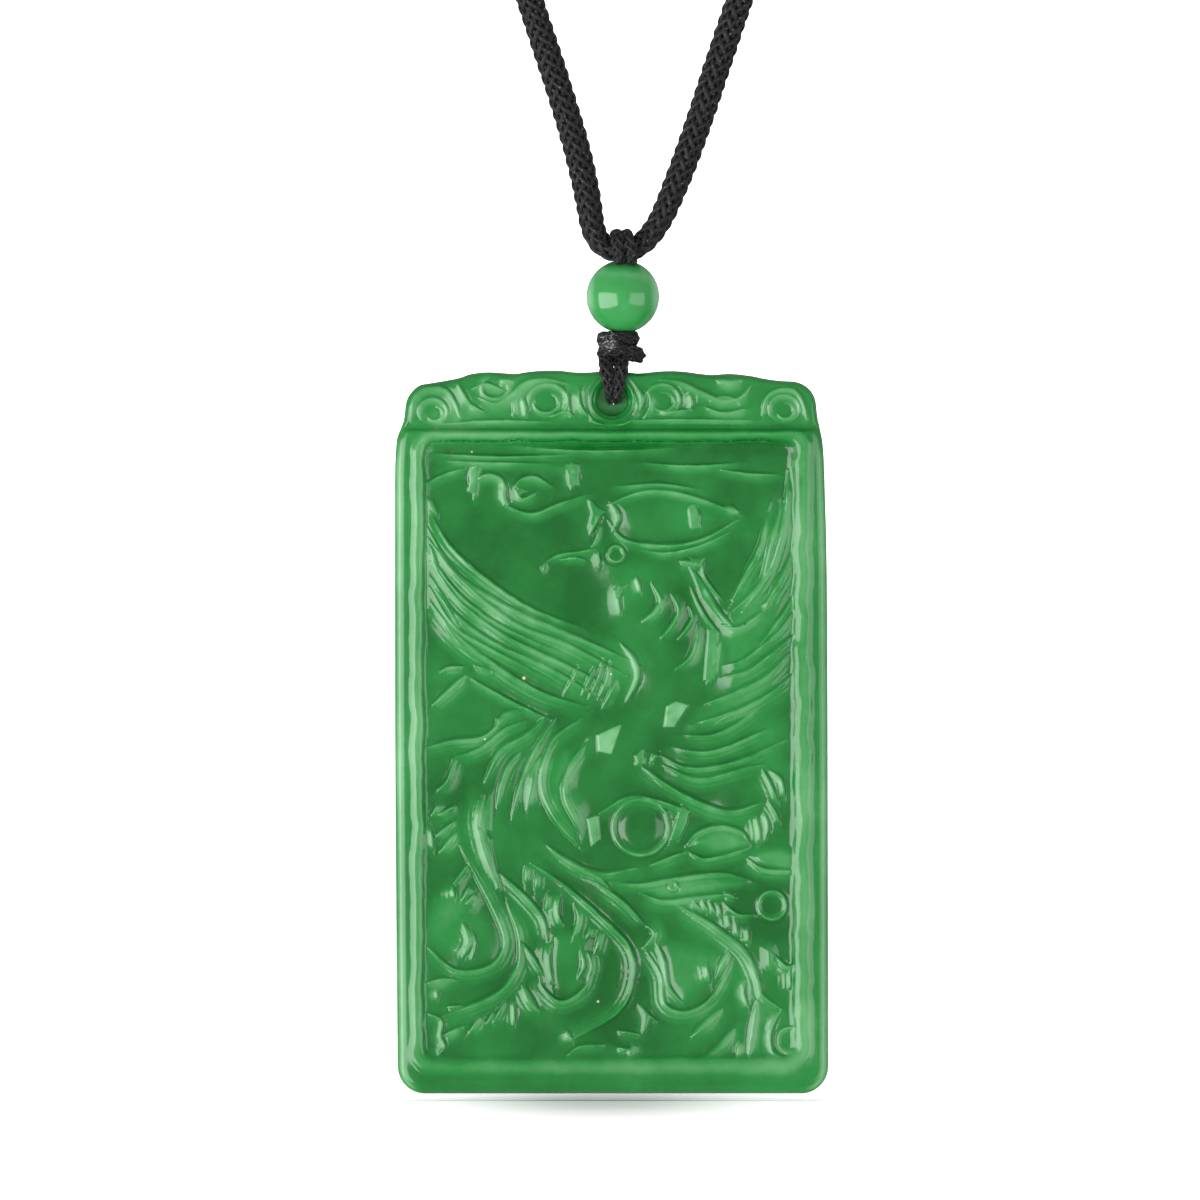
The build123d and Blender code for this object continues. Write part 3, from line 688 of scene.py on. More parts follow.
def carveLine(row, height, paleness, skirt=8.0, endShare=0.25):
    # a raised line with narrow ends, a skirt that slopes away below it and is coloured paler, and a fine cut above
    # it; its top carries a painted highlight
    width, *points = row
    line = throughPoints(points, 6)
    reach = width * 0.5
    at, d, along, side = lineDistance(line, reach + skirt)
    leans = np.sign(line[-1, 0] - line[0, 0]) or 1.0
    lower = side if leans > 0 else 1 - side
    taper = np.maximum(endShare, np.sqrt(np.sin(math.pi * np.clip(along, 0, 1))))
    over = smoothStep(0.5 + np.where(lower > 0.5, d, -d) / (1.6 * reach))
    profile = np.clip(1 - (d / (reach * taper)) ** 2, 0, 1)
    keepHigher(stroke, at, height * profile ** cutting["roundness"] * (0.5 + 0.5 * taper))
    fall = np.clip(1 - d / (reach + skirt), 0, 1)
    # finer cuts run beside the long feathers
    comb = np.cos(math.tau * (d - reach) / cutting["combEvery"]) * (d > reach) * (skirt > cutting["combFrom"])
    slope = cutting["skirtRise"] * skirt * fall ** cutting["roundness"] + cutting["combHeight"] * comb * fall
    keepHigher(ledge, at, slope * over * taper)
    beside = np.exp(-(((d - reach * taper * cutting["grooveAt"]) / cutting["grooveWidth"]) ** 2))
    keepHigher(groove, at, cutting["grooveDepth"] * beside * taper * (1 - lower))
    # the line's top is coloured pale: a painted highlight
    keepHigher(pale, at, paleness * profile * (0.4 + 0.8 * mottle[at]))
    # the very crest is coloured bright: a painted highlight
    crest = np.clip(1 - (d / cutting["crestWidth"]) ** 2, 0, 1) * taper
    keepHigher(paintedCrestHighlight, at, (paleness + cutting["paintedCrestHighlight"]) * crest * (0.5 + 0.6 * grainy[at]))
    keepHigher(pale, at, paleness * fall * over * taper * (0.65 + 0.6 * mottle[at]) * (1 + 0.3 * comb))


# The carving: each table holds the height in mm, how pale its crest is coloured as a painted highlight, and lines of
# width and points

borderLines = {"height": 0.4, "pale": 0.5, "skirt": 9, "lines": [
    (6, (-133, 27), (-116, 33), (-100, 24), (-87, 13), (-67, 9), (-45, 13)),
    (5, (-154, 13), (-147, 26), (-140, 36)), (3, (-143, 33), (-128, 41)),
    (6, (-90, 27), (-87, 36), (-86, 47)), (3, (-97, 29), (-99, 45)),
    (6, (48, 9), (68, 12), (88, 21), (110, 30), (128, 27), (138, 15)),
    (7, (104, 9), (118, 12), (130, 9)), (6, (77, 22), (80, 32), (77, 39)), (4, (48, 42), (80, 39)),
    (5, (-201, 49), (-199, 29), (-187, 18), (-167, 19), (-157, 31), (-152, 47)),
    (5, (150, 45), (153, 29), (164, 20), (182, 20), (191, 33), (195, 50)),
    (5, (-33, 20), (-32, 33), (-25, 46)), (4, (-44, 18), (-43, 34), (-41, 47)),
    (5, (26, 17), (31, 28), (28, 42)), (5, (36, 20), (38, 34), (32, 48)),
    (3, (-108, 20), (-125, 13), (-140, 18)), (3, (-98, 10), (-112, 9)), (3, (-62, 45), (-45, 41), (-38, 46)),
    (4, (-22, 50), (-8, 54), (8, 54), (22, 49)), (3, (92, 36), (112, 42), (134, 38)),
    (3, (10, 50), (70, 49), (140, 50)), (3, (-175, 54), (-120, 50), (-60, 51)),
]}
borderCurls = [
    # column, row, width and height of the curl, where it starts and ends in degrees, line width
    (-64, 30, 40, 33, -200, 110, 4), (-66, 32, 24, 20, -60, 200, 3), (-117, 17, 27, 22, -20, 250, 4),
    (50, 29, 36, 31, -190, 120, 4), (51, 31, 21, 18, -100, 170, 3), (-179, 41, 29, 26, -220, 60, 4),
    (-177, 43, 15, 14, -80, 150, 3), (172, 38, 31, 27, -240, 70, 4), (173, 40, 16, 15, -90, 160, 3),
    (-93, 36, 12, 16, 100, 260, 3), (20, 33, 10, 22, -80, 80, 3), (112, 34, 30, 16, -160, 20, 3),
]
cloudLines = {"height": 0.5, "pale": 0.55, "skirt": 8, "lines": [
    (9, (-137, 94), (-140, 106), (-138, 118)), (6, (-138, 128), (-136, 111), (-123, 104), (-109, 111), (-108, 134)),
    (9, (-107, 112), (-108, 124), (-104, 136)), (5, (-108, 134), (-80, 143), (-52, 133), (-24, 124)),
    (4, (-98, 116), (-90, 108), (-76, 106), (-60, 116)), (4, (-97, 117), (-90, 128), (-76, 122)),
    (12, (-40, 92), (-39, 105), (-40, 118)), (4, (-177, 83), (-110, 86), (-40, 84)),
    (3, (-170, 90), (-120, 92), (-60, 93)), (4, (108, 99), (138, 103), (168, 104)),
    (3, (3, 116), (48, 113), (88, 119)), (3, (30, 92), (80, 95), (130, 92)), (3, (-100, 76), (-20, 80), (60, 78)),
]}
headLines = {"height": 0.5, "pale": 0.62, "skirt": 7, "lines": [
    (5, (-66, 191), (-52, 184), (-32, 181), (-16, 178)), (4, (-66, 191), (-69, 197), (-67, 203)),
    (3, (-52, 189), (-37, 187), (-25, 190)), (4, (-14, 179), (-12, 196)), (3, (-12, 154), (-15, 166), (-20, 176)),
    (8, (-22, 129), (-15, 144), (-22, 164)), (5, (-4, 134), (23, 123), (50, 120), (88, 128), (130, 145)),
    (6, (-4, 149), (13, 169), (53, 175), (90, 169), (126, 149)), (4, (28, 179), (56, 182), (88, 175), (118, 161)),
    (8, (-2, 131), (6, 146), (1, 160)), (10, (80, 134), (84, 146), (81, 158)), (8, (113, 136), (126, 141)),
]}
neckLines = {"height": 0.46, "pale": 0.6, "skirt": 9, "lines": [
    (5, (24, 206), (27, 214), (29, 223)), (8, (40, 213), (48, 229), (43, 241), (31, 250)),
    (6, (59, 223), (66, 239), (60, 254), (49, 267)), (6, (76, 234), (80, 246), (74, 258), (66, 268)),
    (6, (8, 213), (6, 227), (9, 245)), (5, (86, 251), (84, 269), (78, 286), (64, 298)),
    (7, (8, 271), (21, 287), (26, 307), (14, 331)), (9, (78, 197), (91, 217), (104, 239), (121, 257)),
    (4, (78, 214), (86, 232), (96, 249), (108, 263)), (4, (91, 191), (92, 204), (100, 217), (110, 229)),
    (5, (113, 256), (123, 257), (133, 254), (153, 239)), (8, (68, 190), (88, 194)),
    (8, (97, 259), (102, 279), (100, 297), (95, 312)), (4, (108, 269), (104, 290), (101, 309)),
]}
rightWingLines = {"height": 0.44, "pale": 0.42, "skirt": 15, "lines": [
    (6, (156, 144), (146, 179), (133, 203), (120, 229)), (6, (171, 129), (158, 174), (147, 214), (118, 242)),
    (7, (176, 99), (172, 149), (156, 204), (130, 241)), (7, (185, 169), (174, 197), (160, 221), (150, 245)),
    (6, (188, 209), (176, 235), (161, 257), (145, 277)), (6, (185, 261), (158, 284), (136, 300), (110, 306)),
    (6, (178, 281), (154, 306), (126, 320), (92, 333)), (5, (163, 319), (132, 336), (108, 345), (86, 351)),
    (5, (151, 334), (126, 352), (100, 364), (71, 364)), (4, (186, 232), (165, 262), (132, 288), (112, 294)),
    (4, (184, 300), (158, 322), (130, 338), (104, 352)), (4, (178, 190), (166, 214), (150, 236)),
]}
wingLines = {"height": 0.42, "pale": 0.5, "skirt": 8, "lines": [
    (5, (-176, 219), (-162, 241), (-152, 259)), (5, (-169, 249), (-156, 269), (-145, 279)),
    (8, (-137, 295), (-119, 303)), (6, (-182, 174), (-178, 188), (-174, 201)),
    (4, (-146, 304), (-112, 324), (-72, 344), (-57, 349)), (9, (-184, 127), (-174, 146)),
    (4, (-190, 115), (-168, 104), (-145, 97)), (5, (-33, 294), (-40, 309), (-48, 323)),
    (5, (-18, 296), (-24, 311), (-30, 324)), (5, (-8, 287), (-14, 307), (-24, 329)),
    (5, (-1, 289), (-6, 309), (-14, 329)), (5, (5, 309), (-3, 324), (-10, 338)),
]}
clawLines = {"height": 0.46, "pale": 0.55, "skirt": 13, "lines": [
    (6, (48, 384), (78, 397), (123, 391), (173, 369)), (6, (51, 394), (88, 408), (138, 396), (154, 394)),
    (7, (28, 394), (68, 422), (115, 440), (150, 432)), (8, (26, 384), (33, 388)), (9, (41, 383), (46, 386)),
    (5, (150, 397), (159, 414), (167, 435)), (5, (158, 399), (169, 409), (173, 426)),
    (5, (156, 429), (163, 440), (168, 452)), (5, (144, 444), (147, 459), (148, 472)),
    (5, (152, 441), (156, 454), (154, 468)), (4, (60, 376), (100, 380), (160, 356)),
]}
leftTailLines = {"height": 0.44, "pale": 0.5, "skirt": 12, "lines": [
    (7, (-179, 334), (-162, 319), (-146, 304)), (3, (-172, 301), (-164, 296), (-149, 295)),
    (4, (-174, 419), (-164, 408), (-157, 386)), (4, (-157, 386), (-130, 376), (-106, 357), (-84, 349)),
    (5, (-187, 377), (-162, 370), (-127, 365), (-105, 343)), (9, (-117, 357), (-106, 344), (-90, 338)),
    (8, (-66, 345), (-84, 363), (-112, 381), (-127, 411)), (6, (-92, 381), (-104, 395), (-112, 416), (-115, 436)),
    (7, (-56, 346), (-76, 377), (-91, 411), (-100, 445)), (13, (-71, 386), (-80, 409), (-85, 439)),
    (7, (-30, 347), (-60, 371), (-71, 411), (-60, 444), (-35, 474)),
    (5, (-27, 372), (-44, 399), (-48, 426), (-33, 458), (-30, 471)),
    (4, (-180, 444), (-174, 432)), (5, (-173, 444), (-156, 434)), (5, (-175, 464), (-156, 449)),
    (5, (-172, 481), (-155, 460)), (4, (-181, 455), (-178, 479)), (5, (-142, 491), (-159, 513)),
    (4, (-159, 514), (-157, 527)), (5, (-142, 514), (-150, 529)), (5, (-136, 522), (-146, 533)),
]}
middleLines = {"height": 0.44, "pale": 0.55, "skirt": 11, "lines": [
    (6, (-12, 442), (18, 426), (53, 432), (74, 444), (65, 471)), (8, (-65, 474), (-44, 490), (-12, 503), (24, 497)),
    (4, (-37, 497), (-12, 507), (1, 522)), (4, (38, 494), (58, 486), (78, 479)),
    (6, (73, 475), (85, 462), (108, 455), (130, 461), (138, 475)), (4, (73, 478), (90, 487), (108, 485), (136, 477)),
    (5, (135, 487), (152, 498), (184, 500)), (5, (1, 511), (28, 513), (58, 508), (108, 502), (138, 509)),
    (6, (28, 522), (53, 530), (88, 526), (123, 522)), (8, (112, 521), (124, 527)),
    (4, (111, 531), (126, 543), (145, 543)), (4, (78, 526), (88, 538)), (4, (88, 525), (96, 540)),
    (4, (97, 528), (103, 543)), (4, (106, 530), (109, 546)), (5, (115, 540), (118, 559)),
    (5, (123, 546), (126, 567)), (5, (135, 554), (137, 572)),
]}
tailLines = {"height": 0.46, "pale": 0.52, "skirt": 13, "lines": [
    (12, (-128, 424), (-132, 449), (-126, 479), (-111, 519)),
    (6, (-152, 474), (-134, 509), (-115, 547), (-108, 574), (-122, 595), (-157, 598), (-188, 572)),
    (8, (-149, 551), (-142, 569), (-149, 586)), (3, (-141, 555), (-136, 571), (-140, 591)),
    (7, (-105, 531), (-93, 567), (-95, 597), (-117, 624), (-175, 647)),
    (4, (-107, 629), (-119, 652)), (4, (-118, 639), (-126, 653)), (4, (-131, 644), (-143, 661)),
    (4, (-98, 629), (-97, 654)), (10, (-89, 614), (-82, 629), (-74, 640)),
    (6, (-60, 571), (-63, 589), (-59, 614)), (4, (-72, 604), (-68, 617), (-50, 630), (-27, 616), (-20, 591)),
    (7, (-31, 579), (-29, 594), (-34, 607)), (5, (-24, 580), (-21, 595), (-25, 609)),
    (6, (-112, 502), (-87, 525), (-69, 547), (-64, 570)), (6, (-92, 569), (-79, 586), (-69, 604)),
    (6, (-82, 491), (-47, 514), (-7, 549), (18, 577), (22, 607), (6, 641), (-42, 669)),
    (5, (-86, 494), (-87, 512)), (5, (-75, 501), (-77, 519)), (5, (-64, 521), (-67, 539)),
    (5, (-52, 522), (-54, 541), (-49, 554)), (6, (-38, 533), (-34, 547), (-39, 566)), (5, (-22, 554), (-25, 567)),
    (6, (-11, 559), (-18, 584)), (6, (43, 569), (52, 589), (56, 614), (70, 632)),
    (4, (33, 577), (49, 604), (53, 632), (73, 640), (98, 627), (121, 587)),
    (6, (116, 579), (107, 597), (104, 607)), (6, (34, 554), (41, 563), (31, 577)), (6, (94, 592), (98, 611)),
    (5, (-15, 512), (11, 530), (33, 554)), (8, (63, 532), (103, 556), (133, 581), (146, 609), (150, 624), (170, 638)),
    (4, (163, 584), (175, 595), (187, 591)), (4, (178, 599), (179, 619)),
]}
footLines = {"height": 0.42, "pale": 0.5, "skirt": 10, "lines": [
    (10, (110, 637), (96, 651), (80, 665)), (11, (122, 657), (110, 675), (92, 688)),
    (9, (145, 629), (140, 659), (136, 687)), (5, (127, 669), (124, 688)), (4, (133, 607), (132, 622), (136, 637)),
    (9, (28, 633), (35, 647), (31, 662)), (3, (26, 632), (45, 651)), (4, (5, 659), (28, 663)),
    (4, (5, 676), (20, 678)), (6, (22, 671), (15, 688)), (6, (-46, 659), (-40, 670)),
    (4, (-46, 685), (-32, 675), (-6, 673)), (5, (168, 639), (159, 659), (160, 679), (169, 686)),
    (5, (-187, 612), (-170, 608), (-151, 609)), (4, (-175, 617), (-174, 629)), (3, (-164, 635), (-149, 634)),
    (5, (-185, 641), (-170, 649), (-171, 664), (-167, 675), (-175, 685)), (4, (-169, 664), (-148, 654)),
]}
fieldRings = [(4, 183, 8, 4), (29, 456, 28, 5), (178, 669, 13, 4), (160, 534, 14, 5), (61, 515, 4, 3)]

# the left wing's long feathers lie evenly between an upper and a lower line
wing = {
    "upper": [(-189, 131), (-152, 185), (-92, 229), (-27, 257), (36, 288)],
    "lower": [(-182, 229), (-154, 269), (-112, 293), (-67, 319), (-26, 336)],
    "feathers": 8, "width": 5, "height": 0.42, "pale": 0.52, "fan": 0.9, "skirt": 17,
}

# low rounded forms as height in mm, the width of their edge in squares, how milky they are, and corners
grounds = [
    (0.30, 20, 0.22, [(-189, 128), (-152, 180), (-92, 224), (-27, 252), (28, 272), (42, 291), (26, 316), (-12, 340),
                      (-52, 332), (-92, 310), (-142, 282), (-172, 270), (-186, 229)]),
    (0.26, 20, 0.20, [(182, 100), (168, 122), (150, 160), (120, 230), (104, 262), (104, 312), (74, 352),
                      (78, 368), (130, 356), (170, 330), (186, 290), (187, 230), (187, 160)]),
    (0.32, 28, 0.10, [(-26, 164), (-12, 179), (0, 174), (28, 177), (58, 185), (80, 204), (88, 229), (100, 259),
                      (104, 289), (96, 313), (78, 341), (56, 364), (28, 389), (-2, 399), (-22, 374), (-24, 341),
                      (13, 329), (28, 304), (10, 269), (-12, 257), (-12, 229), (-20, 199)]),
    (0.30, 14, 0.20, [(-46, 372), (-66, 400), (-58, 440), (-36, 470), (-20, 440), (-36, 410), (-28, 384)]),
    (0.34, 9, 0.34, [(0, 512), (28, 514), (58, 509), (108, 503), (138, 509), (123, 521), (88, 526), (53, 529),
                     (28, 521)]),
    (0.34, 9, 0.34, [(74, 476), (86, 463), (108, 456), (130, 462), (138, 476), (108, 485)]),
    (0.24, 14, 0.20, [(-152, 500), (-116, 560), (-116, 590), (-150, 594), (-184, 568), (-184, 530)]),
    (0.26, 10, 0.24, [(-62, 560), (-22, 560), (-24, 610), (-50, 624), (-66, 606)]),
    (0.24, 12, 0.18, [(44, 560), (116, 586), (98, 618), (72, 634), (56, 612)]),
    (0.26, 14, 0.16, [(0, 130), (50, 124), (90, 130), (124, 146), (90, 166), (50, 172), (14, 164)]),
    (0.3, 8, 0.36, [(135, 485), (153, 475), (186, 479), (186, 501), (163, 501), (145, 496)]),
    (0.3, 8, 0.34, [(148, 575), (160, 570), (166, 584), (160, 600), (150, 594)]),
    (0.26, 12, 0.24, [(-178, 98), (-150, 90), (-60, 88), (-30, 100), (-60, 106), (-120, 100), (-170, 112)]),
    (0.2, 18, 0.16, [(60, 372), (170, 340), (184, 372), (172, 430), (120, 436), (60, 410)]),
]
pearl = {"middle": (29, 456), "radius": 22, "height": 0.34}

# small flat polished facets, coloured pale as painted highlights: how pale, then the corners
facets = [
    (0.82, (-15, 364), (9, 353), (-1, 383), (-14, 380)), (0.66, (-25, 447), (-14, 444), (-12, 468), (-20, 475)),
    (0.40, (-131, 439), (-119, 419), (-121, 460), (-134, 457)),
    (0.36, (-125, 461), (-121, 467), (-112, 518), (-115, 518)),
    (0.36, (-41, 390), (-26, 373), (-30, 383), (-44, 399)),
    (0.40, (-137, 294), (-119, 299), (-124, 305), (-132, 301)),
    (0.36, (-115, 347), (-90, 338), (-108, 346), (-116, 356)),
    (0.82, (55, 335), (64, 330), (76, 334), (62, 356), (52, 356)),
    (0.50, (96, 258), (106, 258), (106, 283), (105, 301), (98, 312), (92, 309)),
    (0.50, (23, 385), (31, 377), (33, 393), (26, 393)),
    (0.42, (62, 454), (70, 434), (78, 440), (66, 468), (57, 470)),
    (0.46, (-140, 97), (-131, 97), (-135, 126), (-144, 120)), (0.42, (-47, 93), (-33, 93), (-33, 115), (-41, 115)),
    (0.40, (-96, 115), (-85, 120), (-93, 126)), (0.36, (-24, 129), (-7, 141), (-24, 158), (-20, 143)),
    (0.50, (1, 219), (15, 213), (8, 227), (2, 226)), (0.46, (76, 135), (85, 133), (88, 158), (79, 158)),
    (0.30, (78, 187), (92, 187), (86, 198)),
    (0.36, (79, 198), (88, 207), (104, 239), (115, 253), (109, 253), (89, 227)),
]

for height, edge, milkyAndLit, corners in grounds:
    carveGround(corners, 0.85 * height, 1.25 * edge, milkyAndLit)
pearlDistance = np.hypot(columnGrid - pearl["middle"][0], rowGrid - pearl["middle"][1])
dome = pearl["height"] * np.sqrt(np.clip(1 - (pearlDistance / pearl["radius"]) ** 2, 0, 1))
ground = np.maximum(ground, dome)
tables = [borderLines, cloudLines, headLines, neckLines, rightWingLines, wingLines, clawLines, leftTailLines,
          middleLines, tailLines, footLines]
for table in tables:
    for row in table["lines"]:
        carveLine(row, table["height"], table["pale"], table["skirt"])
for number in range(wing["feathers"]):
    share = number / (wing["feathers"] - 1)
    drift = np.random.default_rng(number).uniform(-3.5, 3.5, (len(wing["upper"]), 2))
    between = [(a + (c - a) * share**wing["fan"] + dx, b + (d - b) * share**wing["fan"] + dy)
               for (a, b), (c, d), (dx, dy) in zip(wing["upper"], wing["lower"], drift)]
    last = 5 if number % 3 else 4
    width = wing["width"] + (-1.0, 0.6, 0.0)[number % 3]
    carveLine((width, *between[:last]), wing["height"], wing["pale"], wing["skirt"])
for column, row, wide, high, first, last, width in borderCurls:
    turns = np.radians(np.linspace(first, last, 9))
    curl = [(column + wide / 2 * math.cos(a), row + high / 2 * math.sin(a)) for a in turns]
    carveLine((width, *curl), 0.3, 0.5, skirt=5)
for column, row, radius, width in fieldRings:
    circle = [(column + radius * math.cos(a), row + radius * math.sin(a)) for a in np.linspace(0, math.tau, 13)]
    carveLine((width, *circle), 0.3, 0.5, skirt=3, endShare=1.0)
# each facet is coloured pale: a painted highlight
for paintedHighlight, *corners in facets:
    ring = np.array(corners + corners[:1], float)
    at, d, _, _ = lineDistance(ring, 3.0)
    d = np.where(insideOf(columnGrid[at], rowGrid[at], ring[:-1]), d, -d)
    form = smoothStep((d + 0.9) / 1.8)
    keepHigher(facetShare, at, form)
    keepHigher(paintedFacetHighlight, at, paintedHighlight * form * (0.7 + 0.45 * grainy[at]))
print("carving drawn")

# The whole front as a depth in front of the plaque's middle plane

edgeDistance = np.full(columnGrid.shape, 36.0)
at, near, _, _ = lineDistance(np.vstack([outline, outline[:1]]), 36)
edgeDistance[at] = near
edgeDistance /= chart["perMm"]
middleColumn, halfWide = (field["left"] + field["right"]) / 2, (field["right"] - field["left"]) / 2
middleRow, halfHigh = (field["top"] + field["foot"]) / 2, (field["foot"] - field["top"]) / 2
# the hand-cut wall of the field wavers by up to two squares
waver = 1.6 * softNoise(26, 3) + 0.9 * softNoise(11, 4)
across = np.abs(columnGrid - middleColumn) - halfWide + field["corner"] + waver
down = np.abs(rowGrid - middleRow) - halfHigh + field["corner"] + 0.5 * waver
outside = np.hypot(np.maximum(across, 0), np.maximum(down, 0)) + np.minimum(np.maximum(across, down), 0)
outside -= field["corner"]
# the wall is steep at the sides and slopes gently under the top border
fromTop = smoothStep((field["top"] + 60 - rowGrid) / 50)
fromTop *= smoothStep((halfWide - np.abs(columnGrid - middleColumn)) / 30)
leftOnly = smoothStep((middleColumn - columnGrid) / 60)
wallWidth = 8.0 - 1.5 * leftOnly * (1 - fromTop) + 4.5 * fromTop
sunk = smoothStep(-outside / wallWidth)
# a thin rounded edge, a flat ledge, and a rounded ridge round the field, wider at the right and the foot
ledgeDepth = depths["edge"] + depths["edgeRise"] * (1 - np.exp(-edgeDistance / depths["edgeRound"]))
ledgeDepth += 0.04 * edgeDistance
ridgeWide = 10 + 5 * np.maximum(smoothStep((columnGrid - 150) / 30), smoothStep((rowGrid - 660) / 30))
ridgeWide = ridgeWide + (7 - ridgeWide) * fromTop
middle = (outside - 0.45 * ridgeWide) / (0.5 * ridgeWide)
crest = depths["ridge"] - 0.1 * middle**2 * (np.abs(middle) < 2) - 0.05 * softNoise(17, 5)
onRidge = smoothStep((ridgeWide + 2.5 - outside) / 6.5)
floorDepth = depths["floor"] + 0.09 * softNoise(44, 11) + 0.035 * softNoise(19, 12)
# the floor rises in a soft hollow towards the ridge, least of all under the top border
hollow = np.exp(np.minimum(outside, 0) / 45) * (1 - 0.85 * fromTop) * (0.32 + 0.18 * leftOnly)
floorDepth += (depths["ridge"] - depths["floor"]) * hollow
relief = ground + ledge + 0.4 * stroke - 0.8 * groove
facetHeight = blurred(ground + ledge, 7) + 0.1
relief += (facetHeight - relief) * facetShare
fieldShare = smoothStep(-outside / 8.0)
carved = floorDepth + blurred(relief, 0.6) * fieldShare
frameDepth = (crest * onRidge + ledgeDepth * (1 - onRidge)) * (1 - sunk) + carved * sunk
scrolls = blurred(0.5 * stroke + ledge - 0.7 * groove, 0.7)
band = depths["band"] + 0.05 * softNoise(30, 21) + scrolls * smoothStep((58 - rowGrid) / 5)
cove = 0.16 * np.exp(-(((rowGrid - 56.5) / 3.2) ** 2))
underBorder = smoothStep((rowGrid - 57.5) / 4.5)
softness = 0.1
blend = np.clip(0.5 + 0.5 * (band - cove - ledgeDepth) / softness, 0, 1)
upper = (band - cove) * (1 - blend) + ledgeDepth * blend - softness * blend * (1 - blend)
front = upper * (1 - underBorder) + frameDepth * underBorder

hole = {"column": 0.0, "row": 29.04, "radius": 15.6, "mouth": 4.5, "depth": 0.2}
holeDistance = np.hypot(columnGrid - hole["column"], rowGrid - hole["row"])
flare = np.clip(1 - (holeDistance - hole["radius"]) / hole["mouth"], 0, 1)
collar = 0.22 * np.exp(-(((holeDistance - 21.5) / 2.2) ** 2)) + 0.12 * np.exp(-(((holeDistance - 27.5) / 2.0) ** 2))
front += collar * (edgeDistance > 0.3) - hole["depth"] * (1 - np.sqrt(1 - flare**2))

# how pale the stone is coloured: painted highlights on its crests, ridge and thin edges, painted shade in its cuts,
# and its own clouds and tone
ridgeShare = np.exp(-((middle / 0.95) ** 2)) * smoothStep((rowGrid - 56) / 6)
edgeShare = np.exp(-(((edgeDistance - 0.3) / 0.17) ** 2)) * smoothStep((np.abs(columnGrid) - 190) / 15)
edgeShare *= smoothStep((rowGrid - 62) / 30)
border = smoothStep((58 - rowGrid) / 6)
fromFloor = np.clip((front - depths["floor"]) / 0.9, 0, 1)
worked = np.maximum(fieldShare, border)
lowLeft = smoothStep((rowGrid - 470) / 150) * smoothStep((-20 - columnGrid) / 120)
milkyAndLitShares = [
    # how much, and where: carving (painted highlight), ridge (painted highlight), thin edge (painted highlight),
    # border, rise above the floor (painted: recesses darker), frame, everywhere
    (0.82, pale * worked), (0.28, ridgeShare), (0.55, edgeShare), (0.22, border), (0.12, fromFloor * fieldShare),
    (0.22, (1 - fieldShare) * (1 - border)), (0.06, 1.0),
    # clouds, the hollow by the wall, the haze round the carving, low at the left, the border's right, painted shade
    # in the cuts
    (0.14, softNoise(60, 31)), (0.07, softNoise(21, 32) * fieldShare), (0.12, hollow * fieldShare),
    (0.15, blurred(pale * fieldShare, 8)), (0.1, lowLeft * fieldShare),
    (0.1, border * smoothStep((columnGrid - 40) / 90)), (-2.0, groove * worked),
]
milkyAndLit = sum(amount * where for amount, where in milkyAndLitShares)
# the painted highlights on crests and facets stay crisp
milkyAndLit = np.maximum(blurred(milkyAndLit, 0.5), paintedCrestHighlight * worked)
milkyAndLit = np.clip(np.maximum(milkyAndLit, paintedFacetHighlight), 0, 1)
print("front raised")


def sampled(values, column, row):
    # a raster's values at chart places
    u = np.clip((column - chart["left"]) * samples, 0, len(columns) - 1.001)
    v = np.clip((row - chart["first"]) * samples, 0, len(rows) - 1.001)
    return readBetween(values, u, v)


def alongLine(line, count):
    # so many evenly spaced points along a line, both ends included
    runs = np.concatenate([[0], np.cumsum(np.linalg.norm(np.diff(line, axis=0), axis=1))])
    at = np.linspace(0, runs[-1], count)
    return np.column_stack([np.interp(at, runs, line[:, k]) for k in (0, 1)])


def nearestIndex(point):
    return int(np.argmin(np.hypot(outline[:, 0] - point[0], outline[:, 1] - point[1])))


def outlineStretch(first, last):
    # the outline's points from one place on it to another, clockwise
    if last <= first:
        last += len(outline)
    return outline[np.arange(first, last + 1) % len(outline)]


# a grid that follows the outline on all four sides
frontMesh = {"step": 1.1, "triangles": 178000, "wide": 425, "high": 715,
             "shoulders": [(-203, 25), (200.5, 22)]}
bend = corner * (1 - math.sqrt(0.5))
corners = [nearestIndex(p) for p in (
    *frontMesh["shoulders"], (sideOutline["footRight"] - bend, foot - bend),
    (sideOutline["footLeft"] + bend, foot - bend),
)]
wide, high = [int(frontMesh[key] / frontMesh["step"]) for key in ("wide", "high")]
topEdge = alongLine(outlineStretch(corners[0], corners[1]), wide)
rightEdge = alongLine(outlineStretch(corners[1], corners[2]), high)
footEdge = alongLine(outlineStretch(corners[2], corners[3]), wide)[::-1]
leftEdge = alongLine(outlineStretch(corners[3], corners[0]), high)[::-1]
u, v = np.linspace(0, 1, wide)[None, :, None], np.linspace(0, 1, high)[:, None, None]
grid = ((1 - v) * topEdge[None] + v * footEdge[None] + (1 - u) * leftEdge[:, None] + u * rightEdge[:, None]
        - (1 - u) * (1 - v) * topEdge[0] - u * (1 - v) * topEdge[-1] - (1 - u) * v * footEdge[0]
        - u * v * footEdge[-1])
places = grid.reshape(-1, 2)
numbers = np.arange(wide * high).reshape(high, wide)
quads = np.stack([numbers[:-1, :-1], numbers[1:, :-1], numbers[1:, 1:], numbers[:-1, 1:]], axis=-1).reshape(-1, 4)
# the hole: drop the cells inside it and pull their rim onto the circle
holeAt = np.array([hole["column"], hole["row"]])
away = np.linalg.norm(places - holeAt, axis=1)
quads = quads[(away[quads] > hole["radius"]).all(axis=1)]


